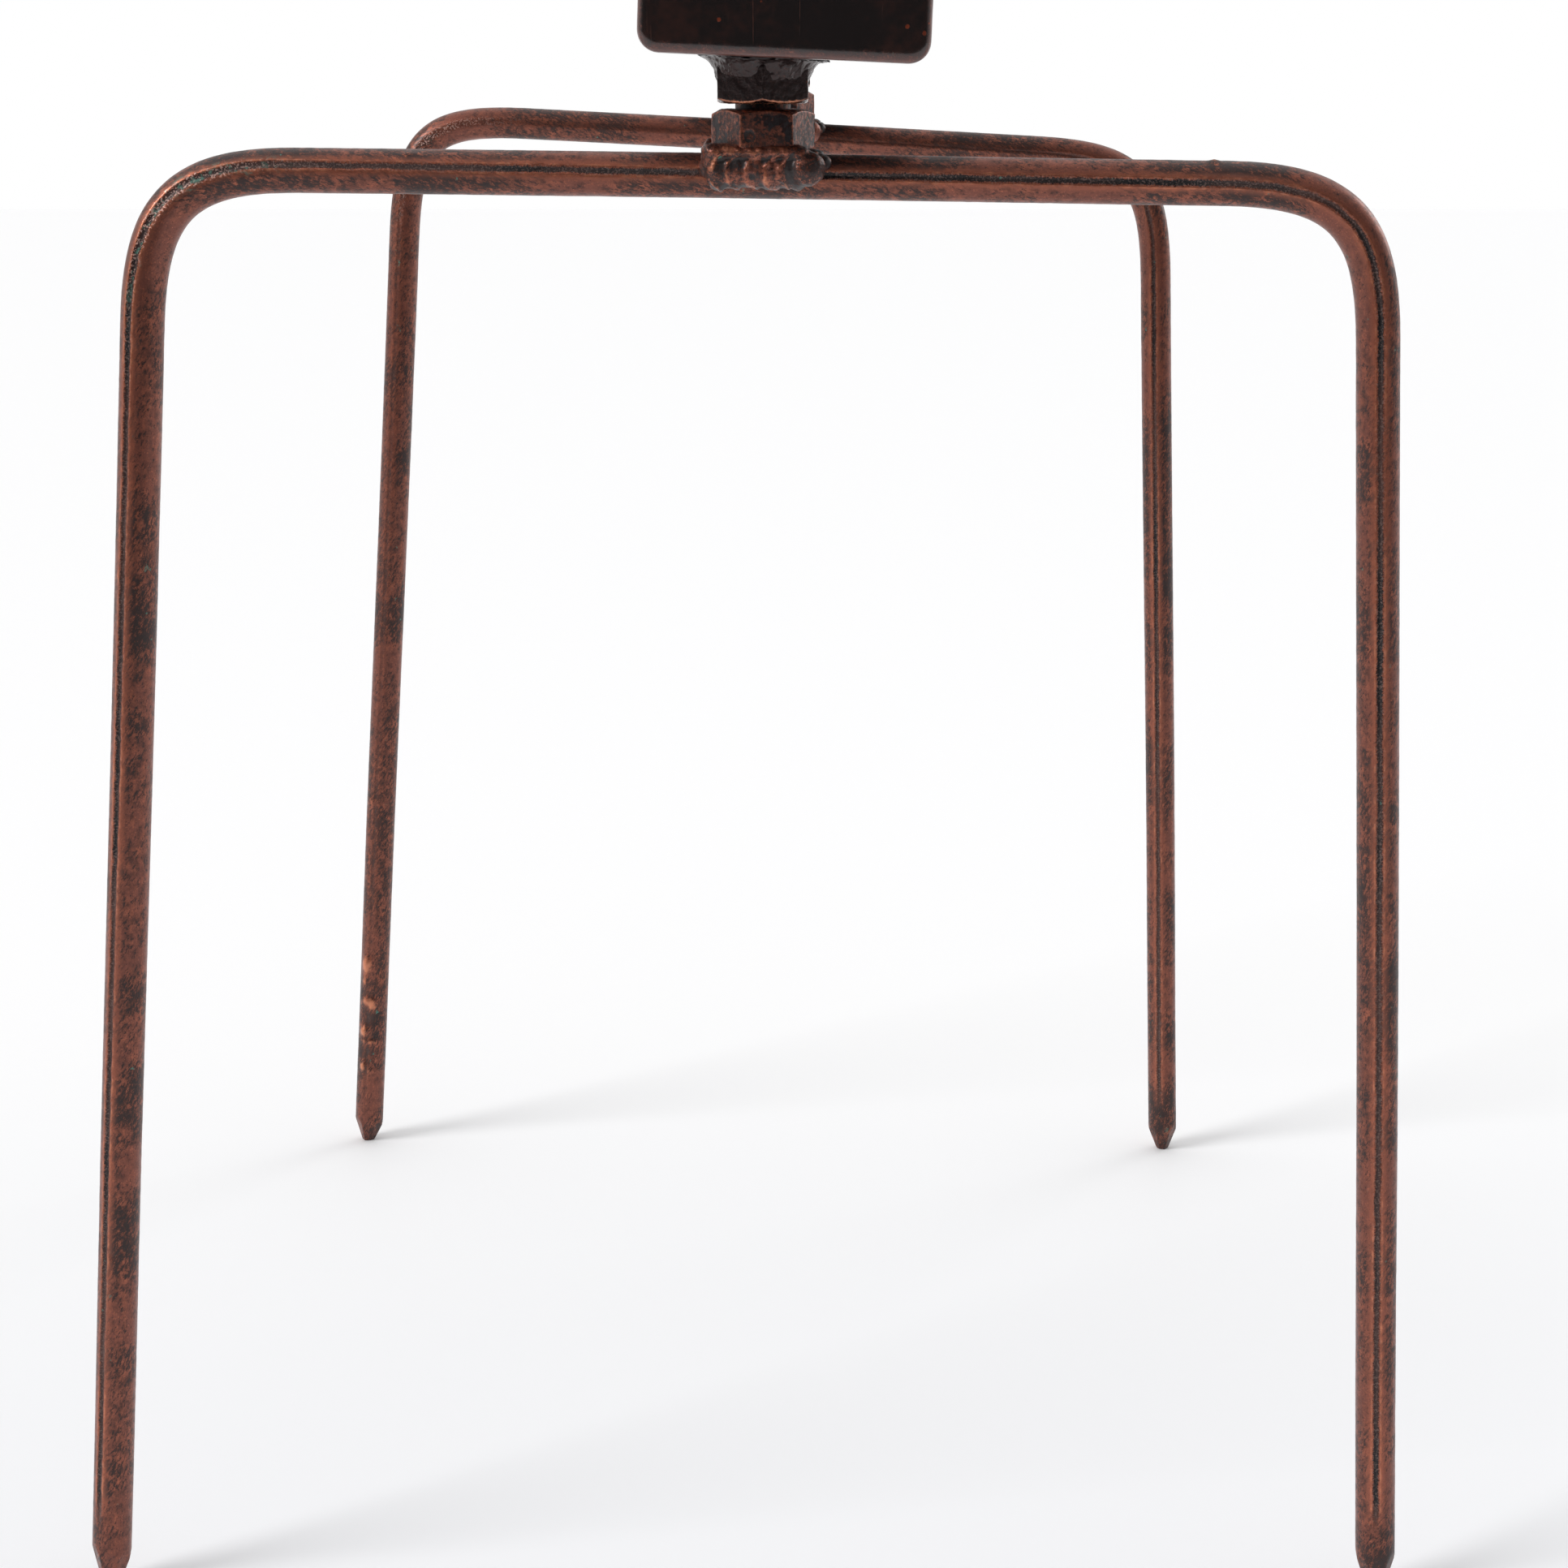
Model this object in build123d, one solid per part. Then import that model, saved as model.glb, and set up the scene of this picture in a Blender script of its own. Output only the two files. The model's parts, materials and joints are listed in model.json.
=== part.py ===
from build123d import *
from dataclasses import dataclass
from math import cos, radians, sin, sqrt, tan
import os

# A gas burner on a low stand. Two bent-rod leg frames hang on threaded studs under a box-section
# beam, and the burner stands on the middle of the beam, its gas hose tail to the left and its
# needle valve to the right.
# Millimetres. +Z is up and the floor is Z = 0. The beam runs along Y, its front end towards -Y.
# The origin is on the floor, in the middle of the stand's footprint.

# ---- fits and threads -----------------------------------------------------------------------
FIT = 0.05  # radial clearance of turning, sliding and screwed pairs
EDGE = 0.8  # chamfer on small turned edges
BODY_EDGE = 1.0  # chamfer on the valve body and the knob

# ---- stand ----------------------------------------------------------------------------------
ROD_RADIUS = 3.25
BAR_HEIGHT = 228.4  # centre of each top bar, at its stud
STUD_SPACING = 188.0
STUD_RADIUS = 4.0 - FIT
NUT_FLATS = 13.0
NUT_HEIGHT = 6.0
NUT_FACE_RADIUS = 6.1  # flat face left inside the nut's chamfer
NUT_CHAMFER = 0.7
NUT_GAP = 0.65  # bare stud between the two nuts
ROOT_GAP = 0.25  # weld-filled gap between a nut and the piece it is welded to

LOWER_NUT_Z = BAR_HEIGHT + ROD_RADIUS + ROOT_GAP
UPPER_NUT_Z = LOWER_NUT_Z + NUT_HEIGHT + NUT_GAP
UNDERSIDE_Z = UPPER_NUT_Z + NUT_HEIGHT + ROOT_GAP
FLOOR_CUT = (20.0, 10.0)  # width and depth of the block that grinds the feet level
FOOT_TRIM = 0.6  # a leg's cone runs on below the floor by this much before it is ground level

LOWER_WELD_SIZE = (18.0, 14.6, 7.4)
LOWER_WELD_ROUND = 3.0
LOWER_WELD_DROP = 1.7  # centre of the bead below the nut's underside
UPPER_WELD_RADII = (6.9, 10.4)
UPPER_WELD_HEIGHT = 3.2

# ---- beam -----------------------------------------------------------------------------------
BEAM_X = 7.0  # the beam's underside runs along this line
BEAM_WIDTH = 40.0
BEAM_HEIGHT = 25.0
BEAM_LENGTH = 226.0
BEAM_WALL = 2.0
BEAM_CORNER = 3.0
BEAM_ROLL = 2.5  # degrees, right-hand side low
PLATE_THICKNESS = 3.0
PLATE_ROUND = 1.6

# ---- burner ---------------------------------------------------------------------------------
BURNER_X = BEAM_X + BEAM_HEIGHT * sin(radians(BEAM_ROLL))
BEAM_TOP_Z = UNDERSIDE_Z + BEAM_HEIGHT * cos(radians(BEAM_ROLL))
SOCKET_RADIUS = 13.0
SOCKET_TOP_Z = BEAM_TOP_Z + 8.8
SOCKET_DEPTH = 8.2
SOCKET_WELD_RADIUS = 16.5
SOCKET_WELD_HEIGHT = 3.5
SOCKET_WELD_TOE = 1.05  # height of the bead's outer edge above the beam
SOCKET_WELD_ROOT = 1.0  # how far the bead is run down, past the sloping top, before it is trimmed

SPIGOT_RADIUS = 6.0
SPIGOT_LENGTH = 7.8
FLANGE_RADIUS = 15.0
FLANGE_HEIGHT = 4.0
COLUMN_RADIUS = 11.0
COLUMN_TOP_Z = SOCKET_TOP_Z + 30.0
GAS_AXIS_Z = SOCKET_TOP_Z + 17.0
NECK_RADIUS = 5.2
NECK_BORE_RADIUS = 4.3
NECK_HEIGHT = 7.0
BOSS_RADIUS = 7.5
BOSS_REACH = 13.5  # from the column's axis to each side boss's face
PORT_RADIUS = 5.0
HOSE_PORT_END = 7.0  # from the axis to the bottom of the hose tail's port
BONNET_PORT_END = 4.0
PASSAGE_RADIUS = 3.0
ORIFICE_RADIUS = 1.2
ORIFICE_SPAN = (-4.0, -2.0)
RISER_RADIUS = 1.5
JET_PORT_RADIUS = 2.5
JET_PORT_DEPTH = 7.0

BARREL_RADIUS = 6.5
BARREL_BORE_RADIUS = 5.25
BARREL_LENGTH = 96.0
BARREL_TOP_Z = COLUMN_TOP_Z + BARREL_LENGTH
LOCKNUT_FLATS = 19.0
LOCKNUT_HEIGHT = 4.5
LOCKNUT_CHAMFER = 0.6
COLLAR_RADIUS = 8.9
COLLAR_RIM_RADIUS = 9.8
COLLAR_RIM_HEIGHT = 4.5
COLLAR_HEIGHT = 24.0
COLLAR_GAP = 0.3  # above and below the collar
COLLAR_NOTCHES = 30
COLLAR_NOTCH_RADIUS = 0.5
COLLAR_NOTCH_OFFSET = 0.15  # centre of a notch outside the rim
COLLAR_Z = COLUMN_TOP_Z + LOCKNUT_HEIGHT + COLLAR_GAP
AIR_HOLE_RADIUS = 4.0
AIR_HOLE_Z = COLLAR_Z + COLLAR_HEIGHT / 2 + 1.0
STOP_RING_RADIUS = 7.7
STOP_RING_HEIGHT = 1.6
HEAD_RADIUS = 8.5
HEAD_GRIP = 14.0  # how far the head reaches down over the barrel
HEAD_RISE = 6.0  # how far it stands above the barrel
HEAD_SLOTS = 6
HEAD_SLOT_WIDTH = 2.6
HEAD_SLOT_DEPTH = 3.6
HEAD_MOUTH_RADIUS = 6.3  # the bore opens to this at the top
HEAD_MOUTH_DEPTH = 2.0

# ---- needle valve, measured outwards from the column's axis ----------------------------------
STEM_RADIUS = 2.45
NEEDLE_TIP = -3.6
NEEDLE_TIP_RADIUS = 0.5
NEEDLE_CONE_END = -1.1
NEEDLE_RADIUS = 1.5
NEEDLE_END = 1.0
STEM_START = 1.5
STEM_END = 25.0
KNOB_SEAT_RADIUS = 2.0
KNOB_SEAT_END = 33.0
PACKING_THICKNESS = 2.0
BONNET_FLATS = 12.0
BONNET_END = 19.0
KNOB_START = 21.5
KNOB_END = 33.5
KNOB_RADIUS = 10.0
KNOB_FLUTES = 12
KNOB_FLUTE_RADIUS = 1.7
KNOB_FLUTE_OFFSET = 1.02  # centre of a flute outside the knob
KNOB_BACK_CHAMFER = 2.5
KNOB_SCREW_RADIUS = 1.2
KNOB_SCREW_LENGTH = 5.0
KNOB_SCREW_RELIEF = 0.5  # thread left empty below the screw
KNOB_SCREW_HEAD = (2.6, 1.6)  # radius and height
SCREW_SLOT = (0.7, 0.8)  # width and depth

# ---- hose tail, measured outwards from the column's axis -------------------------------------
WASHER_THICKNESS = 1.2
WASHER_RADIUS = 7.2
TAIL_FLATS = 14.0
TAIL_HEX_END = 20.0
TAIL_RADIUS = 5.0
TAIL_BORE_RADIUS = 2.75
TAIL_LAND_END = 31.0
TAIL_RIDGES = 4
TAIL_RIDGE_PITCH = 3.4
TAIL_RIDGE_DEPTH = 0.8
TAIL_RIDGE_TOE = 1.36  # from a ridge's step to the bottom of the next slope

# ---- gas jet --------------------------------------------------------------------------------
JET_FLATS = 7.0
JET_HEX_HEIGHT = 3.0
JET_NOZZLE_HEIGHT = 6.0
JET_NOZZLE_RADII = (2.6, 1.4)
JET_SHANK_RELIEF = 0.5  # gap between the jet's shank and the bottom of its port
JET_BORE_RADIUS = 1.1
JET_HOLE_RADIUS = 0.4
JET_HOLE_LENGTH = 2.0


@dataclass
class Legs:
    """One leg frame: two legs and a bar, bent from one rod. Lengths are from its stud's axis."""

    name: str
    stud_x: float
    stud_y: float
    left_bar: float  # to the corner where the centre-lines of bar and leg meet
    right_bar: float
    bar_slope: float  # degrees, right-hand end low
    left_foot: float
    right_foot: float
    bend_reach: float  # from the corner to each end of the bend
    bend_pull: float  # share of that reach by which the bend is drawn into the corner
    point_length: float
    point_radius: float
    yaw: float  # degrees about the stud
    lower_nut_turn: float  # degrees the nut is turned from a flat facing front
    upper_nut_turn: float


LEG_FRAMES = (
    Legs(
        name="front",
        stud_x=4.1,
        stud_y=-STUD_SPACING / 2,
        left_bar=88.7,
        right_bar=88.3,
        bar_slope=0.72,
        left_foot=108.9,
        right_foot=100.8,
        bend_reach=22.0,
        bend_pull=0.77,
        point_length=7.2,
        point_radius=1.35,
        yaw=-0.6,
        lower_nut_turn=5.0,
        upper_nut_turn=30.0,
    ),
    Legs(
        name="rear",
        stud_x=6.1,
        stud_y=STUD_SPACING / 2,
        left_bar=78.4,
        right_bar=79.3,
        bar_slope=2.96,
        left_foot=96.5,
        right_foot=89.1,
        bend_reach=25.0,
        bend_pull=0.83,
        point_length=5.3,
        point_radius=1.35,
        yaw=-1.6,
        lower_nut_turn=0.0,
        upper_nut_turn=30.0,
    ),
)


# ---- helpers --------------------------------------------------------------------------------
def turned(*profile):
    """A solid of revolution about Z from (radius, height) points."""
    return revolve(Plane.XZ * make_face(Polyline(*profile, close=True)), Axis.Z)


def ring(outer, inner, height):
    return turned((inner, 0), (outer, 0), (outer, height), (inner, height))


def hexagon(flats, height):
    return extrude(RegularPolygon(flats / 2, 6, major_radius=False), height)


def nut(flats, height, bore, face_radius, chamfer_height):
    """A hex nut with both faces chamfered. Flats face +Y and -Y."""
    corner = flats / sqrt(3)
    blank = turned(
        (bore, 0),
        (face_radius, 0),
        (corner, chamfer_height),
        (corner, height - chamfer_height),
        (face_radius, height),
        (bore, height),
    )
    return blank & hexagon(flats, height)


def on_x(shape, side):
    """Turns a shape made along Z to point along +X (side 1) or -X (side -1)."""
    return Rot(0, 90 * side, 0) * shape


def rod_between(radius, start, end):
    """A cylinder along Z from start to end."""
    return Pos(0, 0, start) * Cylinder(radius, end - start, align=(Align.CENTER, Align.CENTER, Align.MIN))


def at_burner(shape, z=0.0):
    return Pos(BURNER_X, 0, z) * shape


def at_gas_axis(shape, side):
    return at_burner(on_x(shape, side), GAS_AXIS_Z)


# ---- leg frames -----------------------------------------------------------------------------
def pointed_foot(legs, foot, corner):
    """The cone at a leg's end, run on past the floor so that it can be ground level."""
    leg = (corner - foot).normalized()
    taper = (ROD_RADIUS - legs.point_radius) / legs.point_length
    length = legs.point_length + FOOT_TRIM
    end_radius = ROD_RADIUS - taper * length
    cone = Cone(ROD_RADIUS, end_radius, length, align=(Align.CENTER, Align.CENTER, Align.MIN))
    return Plane(origin=foot + leg * legs.point_length, z_dir=-leg) * cone


def bend(legs, corner, before, after):
    """The rod's centre-line round a corner, tightest in the middle and running out gently."""
    start = corner + (before - corner).normalized() * legs.bend_reach
    end = corner + (after - corner).normalized() * legs.bend_reach
    start_pull = start + (corner - start) * legs.bend_pull
    end_pull = end + (corner - end) * legs.bend_pull
    return Bezier(start, start_pull, end_pull, end)


def leg_frame(legs):
    slope = tan(radians(legs.bar_slope))
    left_foot = Vector(-legs.left_foot, 0, 0)
    left_corner = Vector(-legs.left_bar, 0, BAR_HEIGHT + legs.left_bar * slope)
    right_corner = Vector(legs.right_bar, 0, BAR_HEIGHT - legs.right_bar * slope)
    right_foot = Vector(legs.right_foot, 0, 0)
    left_end = left_foot + (left_corner - left_foot).normalized() * legs.point_length
    right_end = right_foot + (right_corner - right_foot).normalized() * legs.point_length
    left_bend = bend(legs, left_corner, left_end, right_corner)
    right_bend = bend(legs, right_corner, left_corner, right_end)
    left_leg = Line(left_end, left_bend @ 0)
    bar = Line(left_bend @ 1, right_bend @ 0)
    right_leg = Line(right_bend @ 1, right_end)
    path = Wire([left_leg, left_bend, bar, right_bend, right_leg])
    rod = sweep(Plane(origin=path @ 0, z_dir=path % 0) * Circle(ROD_RADIUS), path)
    rod += pointed_foot(legs, left_foot, left_corner)
    rod += pointed_foot(legs, right_foot, right_corner)
    below_floor = Box(3 * legs.left_foot, *FLOOR_CUT, align=(Align.CENTER, Align.CENTER, Align.MAX))
    return at_stud(legs, Rot(0, 0, legs.yaw) * (rod - below_floor))


def at_stud(legs, shape, z=0.0):
    return Pos(legs.stud_x, legs.stud_y, z) * shape


def stand_nut(legs, turn, z):
    blank = nut(NUT_FLATS, NUT_HEIGHT, STUD_RADIUS + FIT, NUT_FACE_RADIUS, NUT_CHAMFER)
    return at_stud(legs, Rot(0, 0, turn) * blank, z)


def stud(legs):
    return at_stud(legs, rod_between(STUD_RADIUS, LOWER_NUT_Z + ROOT_GAP, UPPER_NUT_Z + NUT_HEIGHT))


def lower_weld(legs, frame):
    """The bead that joins the bar to the nut on it, front and back."""
    bead = Box(*LOWER_WELD_SIZE)
    bead = fillet(bead.edges(), LOWER_WELD_ROUND)
    bead = at_stud(legs, Rot(0, 0, legs.yaw) * bead, LOWER_NUT_Z - LOWER_WELD_DROP)
    nut_space = Rot(0, 0, legs.lower_nut_turn) * hexagon(NUT_FLATS, NUT_HEIGHT)
    return bead - frame - at_stud(legs, nut_space, LOWER_NUT_Z)


def upper_weld(legs, beam_block):
    """The fillet of weld between the upper nut and the beam's underside."""
    inner, outer = UPPER_WELD_RADII
    reach = 2 * ROOT_GAP  # past the underside, before the beam is cut away
    cone = Cone(inner, outer, UPPER_WELD_HEIGHT + reach, align=(Align.CENTER, Align.CENTER, Align.MIN))
    cone = at_stud(legs, cone, UNDERSIDE_Z - UPPER_WELD_HEIGHT)
    nut_space = Rot(0, 0, legs.upper_nut_turn) * hexagon(NUT_FLATS, 2 * NUT_HEIGHT)
    return cone - at_stud(legs, nut_space, UPPER_NUT_Z) - beam_block


# ---- beam -----------------------------------------------------------------------------------
def beam_section(inset=0.0):
    section = RectangleRounded(BEAM_WIDTH - 2 * inset, BEAM_HEIGHT - 2 * inset, BEAM_CORNER - inset)
    return Plane.XZ * Pos(0, BEAM_HEIGHT / 2) * section


def on_beam(shape):
    return Pos(BEAM_X, 0, UNDERSIDE_Z) * Rot(0, BEAM_ROLL, 0) * shape


def beam_outline():
    """The whole beam as one solid block, for cutting away what would run into it."""
    return on_beam(extrude(beam_section(), BEAM_LENGTH / 2, both=True))


def body_tube():
    section = beam_section() - beam_section(BEAM_WALL)
    return on_beam(extrude(section, BEAM_LENGTH / 2 - PLATE_THICKNESS, both=True))


def end_plate(side):
    """The plate welded into the end of the beam on the given side of Y."""
    plate = extrude(beam_section(), PLATE_THICKNESS / 2, both=True)
    outer_face = plate.faces().sort_by(Axis.Y)[0 if side < 0 else -1]
    plate = fillet(outer_face.edges(), PLATE_ROUND)
    return on_beam(Pos(0, side * (BEAM_LENGTH - PLATE_THICKNESS) / 2, 0) * plate)


# ---- burner ---------------------------------------------------------------------------------
def burner_socket(beam_block):
    socket = rod_between(SOCKET_RADIUS, BEAM_TOP_Z - SOCKET_WELD_HEIGHT, SOCKET_TOP_Z)
    socket -= rod_between(SPIGOT_RADIUS + FIT, SOCKET_TOP_Z - SOCKET_DEPTH, SOCKET_TOP_Z)
    return at_burner(socket) - beam_block


def socket_weld(beam_block):
    bottom = BEAM_TOP_Z - SOCKET_WELD_ROOT
    bead = turned(
        (SOCKET_RADIUS, bottom),
        (SOCKET_WELD_RADIUS, bottom),
        (SOCKET_WELD_RADIUS, BEAM_TOP_Z + SOCKET_WELD_TOE),
        (SOCKET_RADIUS, BEAM_TOP_Z + SOCKET_WELD_HEIGHT),
    )
    return at_burner(bead) - beam_block


def burner_base():
    """The turned valve body: flange, column, side bosses and the gas ways inside it."""
    flange_top = SOCKET_TOP_Z + FLANGE_HEIGHT
    neck_top = COLUMN_TOP_Z + NECK_HEIGHT
    outside = turned(
        (0, SOCKET_TOP_Z - SPIGOT_LENGTH),
        (SPIGOT_RADIUS, SOCKET_TOP_Z - SPIGOT_LENGTH),
        (SPIGOT_RADIUS, SOCKET_TOP_Z),
        (FLANGE_RADIUS, SOCKET_TOP_Z),
        (FLANGE_RADIUS, flange_top - BODY_EDGE),
        (FLANGE_RADIUS - BODY_EDGE, flange_top),
        (COLUMN_RADIUS, flange_top),
        (COLUMN_RADIUS, COLUMN_TOP_Z - BODY_EDGE),
        (COLUMN_RADIUS - BODY_EDGE, COLUMN_TOP_Z),
        (NECK_RADIUS, COLUMN_TOP_Z),
        (NECK_RADIUS, neck_top),
        (0, neck_top),
    )
    orifice_start, orifice_end = ORIFICE_SPAN
    for side in (-1, 1):
        outside += Pos(0, 0, GAS_AXIS_Z) * on_x(rod_between(BOSS_RADIUS, 0, BOSS_REACH), side)
    gas_ways = (
        on_x(rod_between(PORT_RADIUS, HOSE_PORT_END, BOSS_REACH), -1),
        on_x(rod_between(PASSAGE_RADIUS, -HOSE_PORT_END, orifice_start), 1),
        on_x(rod_between(ORIFICE_RADIUS, orifice_start, orifice_end), 1),
        on_x(rod_between(PASSAGE_RADIUS, orifice_end, BONNET_PORT_END), 1),
        on_x(rod_between(PORT_RADIUS, BONNET_PORT_END, BOSS_REACH), 1),
    )
    for way in gas_ways:
        outside -= Pos(0, 0, GAS_AXIS_Z) * way
    outside -= rod_between(RISER_RADIUS, GAS_AXIS_Z, COLUMN_TOP_Z)
    outside -= rod_between(JET_PORT_RADIUS, COLUMN_TOP_Z - JET_PORT_DEPTH, COLUMN_TOP_Z)
    outside -= rod_between(NECK_BORE_RADIUS, COLUMN_TOP_Z, neck_top)
    return at_burner(outside)


def gas_jet():
    nozzle_bottom, nozzle_top = JET_NOZZLE_RADII
    shank = rod_between(JET_PORT_RADIUS - FIT, JET_SHANK_RELIEF - JET_PORT_DEPTH, 0)
    nozzle = Cone(nozzle_bottom, nozzle_top, JET_NOZZLE_HEIGHT, align=(Align.CENTER, Align.CENTER, Align.MIN))
    top = JET_HEX_HEIGHT + JET_NOZZLE_HEIGHT
    jet = shank + hexagon(JET_FLATS, JET_HEX_HEIGHT) + Pos(0, 0, JET_HEX_HEIGHT) * nozzle
    jet -= rod_between(JET_BORE_RADIUS, -JET_PORT_DEPTH, top - JET_HOLE_LENGTH)
    jet -= rod_between(JET_HOLE_RADIUS, top - JET_HOLE_LENGTH, top)
    return at_burner(jet, COLUMN_TOP_Z)


def barrel():
    tube = ring(BARREL_RADIUS, BARREL_BORE_RADIUS, BARREL_LENGTH)
    tube -= air_holes(COLUMN_TOP_Z)
    return at_burner(tube, COLUMN_TOP_Z)


def air_holes(bottom_z):
    """The cutter for the two air holes, front and back, placed for a piece whose bottom is at bottom_z."""
    return Pos(0, 0, AIR_HOLE_Z - bottom_z) * Rot(90, 0, 0) * Cylinder(AIR_HOLE_RADIUS, 4 * COLLAR_RADIUS)


def barrel_locknut():
    locknut = nut(LOCKNUT_FLATS, LOCKNUT_HEIGHT, BARREL_RADIUS + FIT, LOCKNUT_FLATS / 2, LOCKNUT_CHAMFER)
    return at_burner(locknut, COLUMN_TOP_Z)


def air_collar():
    bore = BARREL_RADIUS + FIT
    collar = turned(
        (bore, 0),
        (COLLAR_RIM_RADIUS, 0),
        (COLLAR_RIM_RADIUS, COLLAR_RIM_HEIGHT),
        (COLLAR_RADIUS, COLLAR_RIM_HEIGHT + EDGE),
        (COLLAR_RADIUS, COLLAR_HEIGHT - EDGE),
        (COLLAR_RADIUS - EDGE, COLLAR_HEIGHT),
        (bore, COLLAR_HEIGHT),
    )
    notch = rod_between(COLLAR_NOTCH_RADIUS, 0, COLLAR_RIM_HEIGHT)
    for place in PolarLocations(COLLAR_RIM_RADIUS + COLLAR_NOTCH_OFFSET, COLLAR_NOTCHES):
        collar -= place * notch
    collar -= air_holes(COLLAR_Z)
    return at_burner(collar, COLLAR_Z)


def collar_stop_ring():
    stop = ring(STOP_RING_RADIUS, BARREL_RADIUS + FIT / 2, STOP_RING_HEIGHT)
    return at_burner(stop, COLLAR_Z + COLLAR_HEIGHT + COLLAR_GAP)


def flame_head():
    """The slotted head pushed over the barrel's mouth."""
    top = HEAD_GRIP + HEAD_RISE
    head = turned(
        (BARREL_RADIUS + FIT / 2, 0),
        (HEAD_RADIUS, 0),
        (HEAD_RADIUS, top - EDGE),
        (HEAD_RADIUS - EDGE, top),
        (HEAD_MOUTH_RADIUS, top),
        (BARREL_BORE_RADIUS, top - HEAD_MOUTH_DEPTH),
        (BARREL_BORE_RADIUS, HEAD_GRIP),
        (BARREL_RADIUS + FIT / 2, HEAD_GRIP),
    )
    slot_size = (4 * HEAD_RADIUS, HEAD_SLOT_WIDTH, HEAD_SLOT_DEPTH)
    slot = Box(*slot_size, align=(Align.CENTER, Align.CENTER, Align.MAX))
    for step in range(HEAD_SLOTS // 2):
        head -= Pos(0, 0, top) * Rot(0, 0, step * 360 / HEAD_SLOTS) * slot
    return at_burner(head, BARREL_TOP_Z - HEAD_GRIP)


# ---- needle valve ---------------------------------------------------------------------------
def valve_packing():
    washer = Pos(0, 0, BONNET_PORT_END) * ring(PORT_RADIUS - FIT, STEM_RADIUS + FIT, PACKING_THICKNESS)
    return at_gas_axis(washer, 1)


def valve_bonnet():
    start = BONNET_PORT_END + PACKING_THICKNESS
    bonnet = rod_between(PORT_RADIUS - FIT, start, BOSS_REACH)
    bonnet += Pos(0, 0, BOSS_REACH) * hexagon(BONNET_FLATS, BONNET_END - BOSS_REACH)
    bonnet -= rod_between(STEM_RADIUS + FIT, start, BONNET_END)
    return at_gas_axis(bonnet, 1)


def valve_spindle():
    spindle = turned(
        (0, NEEDLE_TIP),
        (NEEDLE_TIP_RADIUS, NEEDLE_TIP),
        (NEEDLE_RADIUS, NEEDLE_CONE_END),
        (NEEDLE_RADIUS, NEEDLE_END),
        (STEM_RADIUS, STEM_START),
        (STEM_RADIUS, STEM_END),
        (KNOB_SEAT_RADIUS, STEM_END),
        (KNOB_SEAT_RADIUS, KNOB_SEAT_END),
        (0, KNOB_SEAT_END),
    )
    thread_start = KNOB_SEAT_END - KNOB_SCREW_LENGTH - KNOB_SCREW_RELIEF
    spindle -= rod_between(KNOB_SCREW_RADIUS + FIT, thread_start, KNOB_SEAT_END)
    return at_gas_axis(spindle, 1)


def valve_knob():
    knob = turned(
        (STEM_RADIUS + FIT, KNOB_START),
        (KNOB_RADIUS - KNOB_BACK_CHAMFER, KNOB_START),
        (KNOB_RADIUS, KNOB_START + KNOB_BACK_CHAMFER),
        (KNOB_RADIUS, KNOB_END - BODY_EDGE),
        (KNOB_RADIUS - BODY_EDGE, KNOB_END),
        (KNOB_SEAT_RADIUS + FIT, KNOB_END),
        (KNOB_SEAT_RADIUS + FIT, STEM_END + FIT),
        (STEM_RADIUS + FIT, STEM_END + FIT),
    )
    for place in PolarLocations(KNOB_RADIUS + KNOB_FLUTE_OFFSET, KNOB_FLUTES):
        knob -= place * rod_between(KNOB_FLUTE_RADIUS, KNOB_START - 1, KNOB_END + 1)
    return at_gas_axis(knob, 1)


def knob_screw():
    head_radius, head_height = KNOB_SCREW_HEAD
    slot_width, slot_depth = SCREW_SLOT
    screw = rod_between(KNOB_SCREW_RADIUS, KNOB_SEAT_END - KNOB_SCREW_LENGTH, KNOB_END)
    screw += rod_between(head_radius, KNOB_END, KNOB_END + head_height)
    slot = Box(3 * head_radius, slot_width, slot_depth, align=(Align.CENTER, Align.CENTER, Align.MAX))
    screw -= Pos(0, 0, KNOB_END + head_height) * slot
    return at_gas_axis(screw, 1)


# ---- hose tail ------------------------------------------------------------------------------
def hose_washer():
    washer = Pos(0, 0, BOSS_REACH) * ring(WASHER_RADIUS, PORT_RADIUS, WASHER_THICKNESS)
    return at_gas_axis(washer, -1)


def hose_tail():
    """Spigot, hexagon, plain land and saw-tooth ridges, which rise no higher than the land."""
    hex_start = BOSS_REACH + WASHER_THICKNESS
    ridges_end = TAIL_LAND_END + TAIL_RIDGES * TAIL_RIDGE_PITCH
    outline = [(TAIL_BORE_RADIUS, hex_start), (TAIL_RADIUS, hex_start), (TAIL_RADIUS, TAIL_LAND_END)]
    for ridge in range(TAIL_RIDGES):
        start = TAIL_LAND_END + ridge * TAIL_RIDGE_PITCH
        outline.append((TAIL_RADIUS - TAIL_RIDGE_DEPTH, start + TAIL_RIDGE_TOE))
        outline.append((TAIL_RADIUS, start + TAIL_RIDGE_PITCH))
    outline.append((TAIL_RADIUS - TAIL_RIDGE_DEPTH, ridges_end + TAIL_RIDGE_PITCH))
    outline.append((TAIL_BORE_RADIUS, ridges_end + TAIL_RIDGE_PITCH))
    tail = turned(*outline)
    tail += rod_between(PORT_RADIUS - FIT, HOSE_PORT_END, hex_start)
    tail += Pos(0, 0, hex_start) * hexagon(TAIL_FLATS, TAIL_HEX_END - hex_start)
    tail -= rod_between(TAIL_BORE_RADIUS, HOSE_PORT_END, TAIL_HEX_END)
    return at_gas_axis(tail, -1)


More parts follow.
